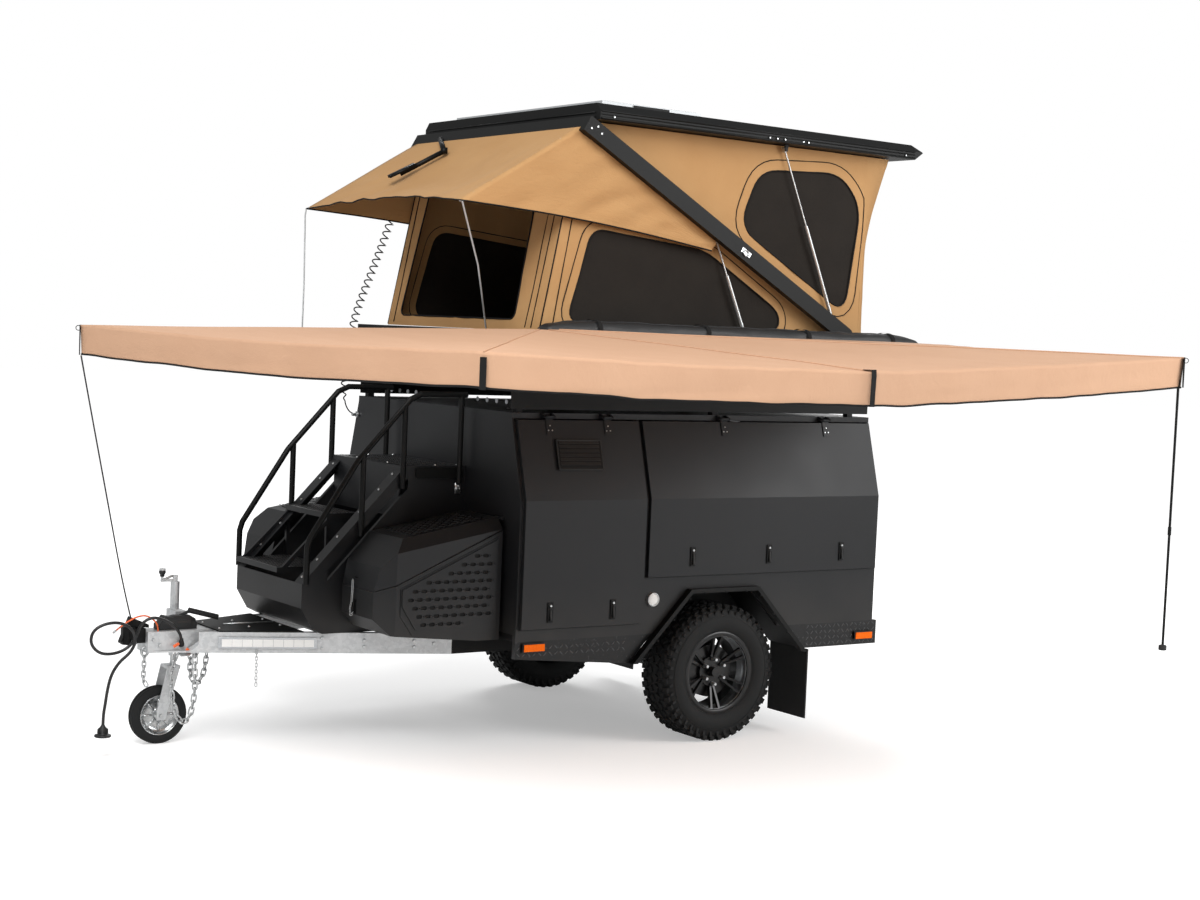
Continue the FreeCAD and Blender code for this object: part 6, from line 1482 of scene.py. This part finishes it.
# Low-iron glass over silicon: near-black blue cells in a pale grid, glossy as a window.
solar_glass, tree, shader = finish("solar_cells_under_glass")
cell_size, cell_gap = 0.158, 0.0022
cell_grid = add(tree, "ShaderNodeTexBrick", {
    "Vector": add(tree, "ShaderNodeTexCoord").outputs["UV"], "Color1": paint("#0d1220"),
    "Color2": paint("#101627"), "Mortar": paint("#7f8488"), "Scale": 1.0, "Mortar Size": cell_gap,
    "Brick Width": cell_size, "Row Height": cell_size}, offset=0.0)
dressed(tree, shader, {"Base Color": cell_grid, "Roughness": 0.3, "Coat Weight": 0.15,
                       "Specular IOR Level": 0.3})
flat = [(-0.811, -0.766), (-0.173, -0.766), (-0.173, 0.766), (-0.811, 0.766)]
glass = piece("solar_glass", slab([on_shell(x, y, 3.5575) for x, y in flat], 0.0012), solar_glass,
              "tent_shell")
laid_out(glass, flat + flat)
label = plate(lambda x, z: on_shell(x, -0.7860, z), -0.62, -0.38, 3.528, 3.550, 0.006)
piece("solar_label_blank", label, satin_black, "tent_shell")

# Folded stay of the shell's front, laid down over the fly: two black painted steel arms with a foot
# plate, joined by a rivet. The control box beside it is moulded; the curly cord plugs into it.
head, elbow, toe = at(-1.030, 0.620, 3.398), at(-1.190, 0.290, 3.300), at(-1.410, 0.405, 3.155)
foot_corners = ((-0.075, -0.030, -0.030), (0.075, -0.060, 0.050), (0.085, -0.005, 0.056),
                (-0.065, 0.020, -0.026))
rivet = [elbow + Vector((0, 0, dz)) for dz in (-0.014, 0.020)]
stay = [rounded_bar([head, elbow], 0.016, 8), rounded_bar([elbow, toe], 0.014, 8),
        rounded_bar(rivet, 0.021, 12), slab([toe + Vector(corner) for corner in foot_corners], 0.016)]
fold_down(piece("folded_stay", merged(stay), satin_black, "chassis", smooth=True))
box_face = ((-0.930, 3.474), (-0.850, 3.474), (-0.850, 3.440), (-0.930, 3.440))
box = slab([on_shell(x, 0.9515, z) for x, z in box_face], 0.012)
eased(piece("control_box", box, moulded_black, "tent_shell"), 0.003)


# Fan awning: one pale canvas in four gores, fanned from the hub at the bag's front end and stretched
# over four arms. It sags a little between them, and its skirt hangs all round with a black hem.
hub = Vector((-1.400, -1.150, 2.2985))
tips = [Vector(p) for p in ((-3.498, -0.192, 2.219), (-2.788, -2.897, 2.199), (-1.190, -3.467, 2.183),
                            (0.997, -3.317, 2.292), (1.287, -1.152, 2.309))]
skirt_drop, gore_length, last_edge, inner = 0.146, 2.6, 3.9999, 0.02


def gore(s):
    """The gore that s falls in: its number, its two tips, the share across it and how free it hangs there."""
    k = min(int(s), 3)
    return k, tips[k], tips[k + 1], s - k, math.sin(math.pi * (s - k))


def fan_point(s, t):
    """A point of the fan: s counts the gores, t runs from the hub out to the edge."""
    k, a, b, share, bow = gore(s)
    edge = a.lerp(b, share)
    edge += (hub - edge) * (0.012 * bow)
    spot = hub.lerp(edge, t)
    spot.z -= bow * (0.005 * (b - a).length * t + 0.006 * t) * (1.0 if k < 3 else 0.6)
    pull = math.exp(-((1 - t) * 4) ** 2)
    spot.z += 0.006 * t * noise.noise((spot.x * 1.6, spot.y * 1.6, 4.0))
    spot.z += 0.004 * pull * noise.noise((s * 14, t * 4, 8.0))
    return spot


def skirt_point(s, down):
    """A point of the skirt, hung from the fan's edge."""
    spot = fan_point(s, 1.0)
    _, a, b, _, bow = gore(s)
    out = Vector((b.y - a.y, a.x - b.x, 0)).normalized()
    if out.dot(spot - hub) < 0:
        out = -out
    wave = noise.noise((s * 9.0, 1.0, 2.0)) + 0.5 * noise.noise((s * 26.0, down * 1.2, 6.0))
    slack = 0.6 * noise.noise((s * 3.5 + down * 1.8, down * 2.0, 9.0))
    spot += out * ((0.008 * wave + 0.012 * slack) * down * bow - 0.010 * down)
    spot.z += 0.004 * down * noise.noise((s * 6.0, 3.0, 3.0)) - skirt_drop * down * (1 + 0.03 * bow)
    return spot


columns, rows_out, rows_down = 260, 40, 12
points, flat = [], []
for s in [last_edge * i / columns for i in range(columns + 1)]:
    for share in [j / rows_out for j in range(rows_out + 1)]:
        reach = inner + (1 - inner) * share
        points.append(at(*fan_point(s, reach)))
        flat.append(((s - 2) * gore_length * reach, gore_length * share))
    for down in [j / rows_down for j in range(1, rows_down + 1)]:
        points.append(at(*skirt_point(s, down)))
        flat.append(((s - 2) * gore_length, gore_length + skirt_drop * down))
fan = cloth("fan_awning_cloth", points, grid(columns + 1, rows_out + rows_down + 1), flat, awning_canvas,
            slot="awning_canvas")
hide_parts("awning_cloth")
hem_line = [at(*skirt_point(last_edge * i / 200, 1.0)) for i in range(201)]
fan_hem = piped("awning_hem", [rounded_bar(hem_line, 0.005, 6)])
lift = Vector((0, 0, 0.002))
points, faces = merged([rounded_bar([at(*(fan_point(k, 0.03 + 0.97 * j / 30) + lift)) for j in range(31)],
                                    0.0035, 6)
                        for k in (1, 2, 3)])
fan_seams = cloth("awning_seams", points, faces, [(p.x, p.y) for p in points], awning_canvas,
                  slot="awning_canvas")


# Awning straps: black webbing over the skirt at the two middle arms and a sewn corner at each end arm,
# with a small plated ring for the guy lines.
def tip_frame(k, half):
    """An arm's tip with its way out from the hub and a sideways step of a given width."""
    out = (tips[k] - hub).normalized()
    return tips[k], out, Vector((-out.y, out.x, 0)) * half


straps = []
for k, over, first in ((1, 0.055, 2), (2, 0.050, 0)):
    corner, out, sideways = tip_frame(k, 0.014)
    run = [fan_point(k, 1 - over / (corner - hub).length) + Vector((0, 0, 0.004))]
    run += [corner + out * reach + Vector((0, 0, z))
            for reach, z in ((0.004, 0.005), (0.006, -0.02), (0.004, -0.080), (0.002, -0.154))]
    run = run[first:]
    straps.append(([at(*(p + way)) for way in (sideways, -sideways) for p in run], grid(2, len(run))))
strap = piece("awning_straps", merged(straps), black_tape, "chassis")
thick = strap.modifiers.new("thick", "SOLIDIFY")
thick.thickness, thick.offset = 0.003, 0
made = evaluated(strap)
strap.modifiers.remove(thick)
strap.data = made
laid_out(strap, [(v.co.x, v.co.z) for v in made.vertices])
caps = []
for k in (0, 3):
    corner, out, sideways = tip_frame(k, 0.022)
    tab = ((-1, 0.004), (1, 0.004), (1, -0.060), (0.4, -0.146), (-1, -0.146))
    caps.append(slab([at(*(corner + out * 0.003 + s * sideways + Vector((0, 0, z)))) for s, z in tab], 0.003))
    eye = corner + out * 0.010 - Vector((0, 0, 0.012))
    ring = [Vector((out.x * math.cos(a), out.y * math.cos(a), math.sin(a))) * 0.012 for a in turns(16)]
    caps.append(rounded_bar([at(*(eye + spot)) for spot in ring], 0.002, 6, close=True))
piece("awning_corners", merged(caps), black_tape, "chassis")

# Awning arms: four square aluminium arms under the cloth, pivoted on a black hub, each ending in a
# cap; the last one's leg hangs from its tip, a slim black tube with a rubber foot.
arms = []
for tip in tips[:4]:
    run = tip - hub
    aside = Vector((-run.y, run.x, 0)).normalized() * 0.012
    start = hub + run * 0.03 - Vector((0, 0, 0.046))
    end = hub + run * 0.985 - Vector((0, 0, 0.030))
    arms.append(slab([at(*spot) for spot in (start + aside, start - aside, end - aside, end + aside)],
                     -0.022))
arm_set = eased(piece("awning_arm_tubes", merged(arms), satin_black, "chassis"), 0.003)
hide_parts("awning_arms")
leg_x, leg_y = 0.9822, -3.3039
posts = [rounded_bar([at(x, y, z) for z in heights], radius, sides) for x, y, heights, radius, sides in (
    (hub.x, hub.y, (2.224, 2.290), 0.034, 28), (leg_x, leg_y, (2.262, 1.35, 0.842), 0.0065, 14),
    (leg_x, leg_y, (1.45, 1.41), 0.0090, 14))]
piece("awning_hub_and_leg", merged(posts), satin_black, "chassis")
foot = rounded_bar([at(leg_x, leg_y, z) for z in (0.858, 0.846, 0.832)], 0.020, 20)
eased(piece("awning_leg_foot", foot, rubber_seal, "chassis"), 0.004)

# Awning bag: a slack sleeve of coated cloth along the roof's edge. It lies nearly flat, its ends are
# pinched to points, and a coarse zip runs along its top.
bag_start, bag_length, bag_y, bag_z, bag_floor = -1.336, 2.632, -1.066, 2.300, 2.2455
sections, ring_count, zip_spot = 90, 22, 6


def squared(value, power):
    """A cosine or sine drawn out towards its ends, for a squarer round."""
    return math.copysign(abs(value) ** power, value)


rings, flat = [], []
for share in [i / sections for i in range(sections + 1)]:
    x = bag_start + bag_length * share
    swell = min(1.0, 0.16 + 1.5 * math.sin(math.pi * share) ** 0.45)
    ring = []
    for a in turns(ring_count):
        c, s = math.cos(a), math.sin(a)
        wobble = 1 + 0.10 * noise.noise((x * 5, c * 1.3, s * 1.3))
        wobble += 0.05 * noise.noise((x * 17, c * 2, s * 2))
        y = bag_y + 0.078 * squared(c, 0.7) * wobble * (0.55 + 0.45 * swell)
        z = bag_z + 0.052 * squared(s, 0.8) * wobble * swell
        z += 0.004 * noise.noise((x * 11, y * 20, 1.0)) if s > 0 else 0.0
        ring.append(at(x, max(min(y, -0.987), -1.148), max(z, bag_floor)))
        flat.append((x, a * 0.07))
    rings.append(ring)
bag = cloth("awning_bag_sleeve", *tube(rings), flat, bag_cloth, slot="bag")
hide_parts("awning_bag")
zip_line = rounded_bar([ring[zip_spot] + Vector((0, 0, 0.0005)) for ring in rings[2:-2]], 0.0032, 6)
piece("bag_zip", zip_line, moulded_black, "chassis", smooth=True)
belt_steps = 28
bag_belts = []
for x in (-1.02, -0.30, 0.42, 1.06):
    loop = [at(x, bag_y + 0.0835 * squared(math.cos(a), 0.75),
               max(bag_z + 0.0600 * squared(math.sin(a), 0.8), bag_floor)) for a in turns(belt_steps)]
    bag_belts.append(([p + Vector((shift, 0, 0)) for shift in (-0.013, 0.013) for p in loop],
                      grid(2, belt_steps, round_wide=True)))
points, faces = merged(bag_belts)
belts = piece("bag_belts", (points, faces), black_tape, "chassis")
laid_out(belts, [(p.x, p.z) for p in points])

# Curly cord: a black coiled cable from the plated socket on the front wall up to the control box on the shell.
curly_route = [
    (-1.380, 0.880, 1.737), (-1.424, 0.880, 1.737), (-1.462, 0.888, 1.786), (-1.470, 0.898, 1.862),
    (-1.456, 0.910, 1.960), (-1.424, 0.930, 2.110), (-1.392, 0.960, 2.290), (-1.330, 0.980, 2.440),
    (-1.262, 0.988, 2.600), (-1.200, 0.990, 2.760), (-1.150, 0.990, 2.900), (-1.095, 0.988, 3.050),
    (-1.050, 0.988, 3.200), (-1.012, 0.990, 3.320), (-0.972, 0.988, 3.412), (-0.940, 0.961, 3.454)]
curly_guide = spline("curly_guide", curly_route)
guide = line_of(curly_guide)
bpy.data.objects.remove(curly_guide)
guide_length = length_of(guide)
coil_step, coil_pitch, coil_radius = 0.0028, 0.046, 0.0215
coil = []
travelled, turned = 0.0, 0.0
side = Vector((0, 1, 0))
for a, b in zip(guide, guide[1:]):
    length = (b - a).length
    run = (b - a).normalized()
    parts_here = max(int(length / coil_step), 1)
    for share in [i / parts_here for i in range(parts_here)]:
        along = travelled + length * share
        side = (side - run * side.dot(run)).normalized()
        ease = min(1.0, max(0.0, (along - 0.12) / 0.10), max(0.0, (guide_length - along - 0.06) / 0.08))
        turned += 2 * math.pi * length / parts_here / coil_pitch
        swing = side * math.cos(turned) + run.cross(side) * math.sin(turned)
        coil.append(a.lerp(b, share) + swing * coil_radius * ease)
    travelled += length
coil.append(guide[-1])
curly = piece("curly_cable", rounded_bar(coil, 0.0042, 8), pvc_sheath, "chassis", smooth=True)
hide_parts("curly_cord")
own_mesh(curly)
end_run = (guide[-1] - guide[-3]).normalized()
sleeves = [rounded_bar([guide[-1] - end_run * back for back in backs], radius, sides)
           for backs, radius, sides in (((0.030, 0.026, 0.002), 0.0070, 16), ((0.044, 0.030), 0.0048, 12))]
connector = piece("curly_connector", merged(sleeves), moulded_black, "tent_shell", smooth=True)
barrels = [rounded_bar([at(x, 0.880, 1.737) for x in ends], radius, 20)
           for ends, radius in (((-1.3805, -1.392), 0.019), ((-1.392, -1.420), 0.0115))]
eased(piece("cord_socket", merged(barrels), plated_steel, "chassis"), 0.0015)

# Guy line: black braid from the corner over the hub's first arm down to the coupling, tied off there.
guy_route = [(-3.496, -0.206, 2.070), (-3.452, -0.183, 1.900), (-3.300, -0.104, 1.330),
             (-3.172, -0.036, 0.850), (-3.106, -0.004, 0.660)]
guy, _, guy_length = corded("guy", guy_route, 0.0040, 3, pvc_sheath)
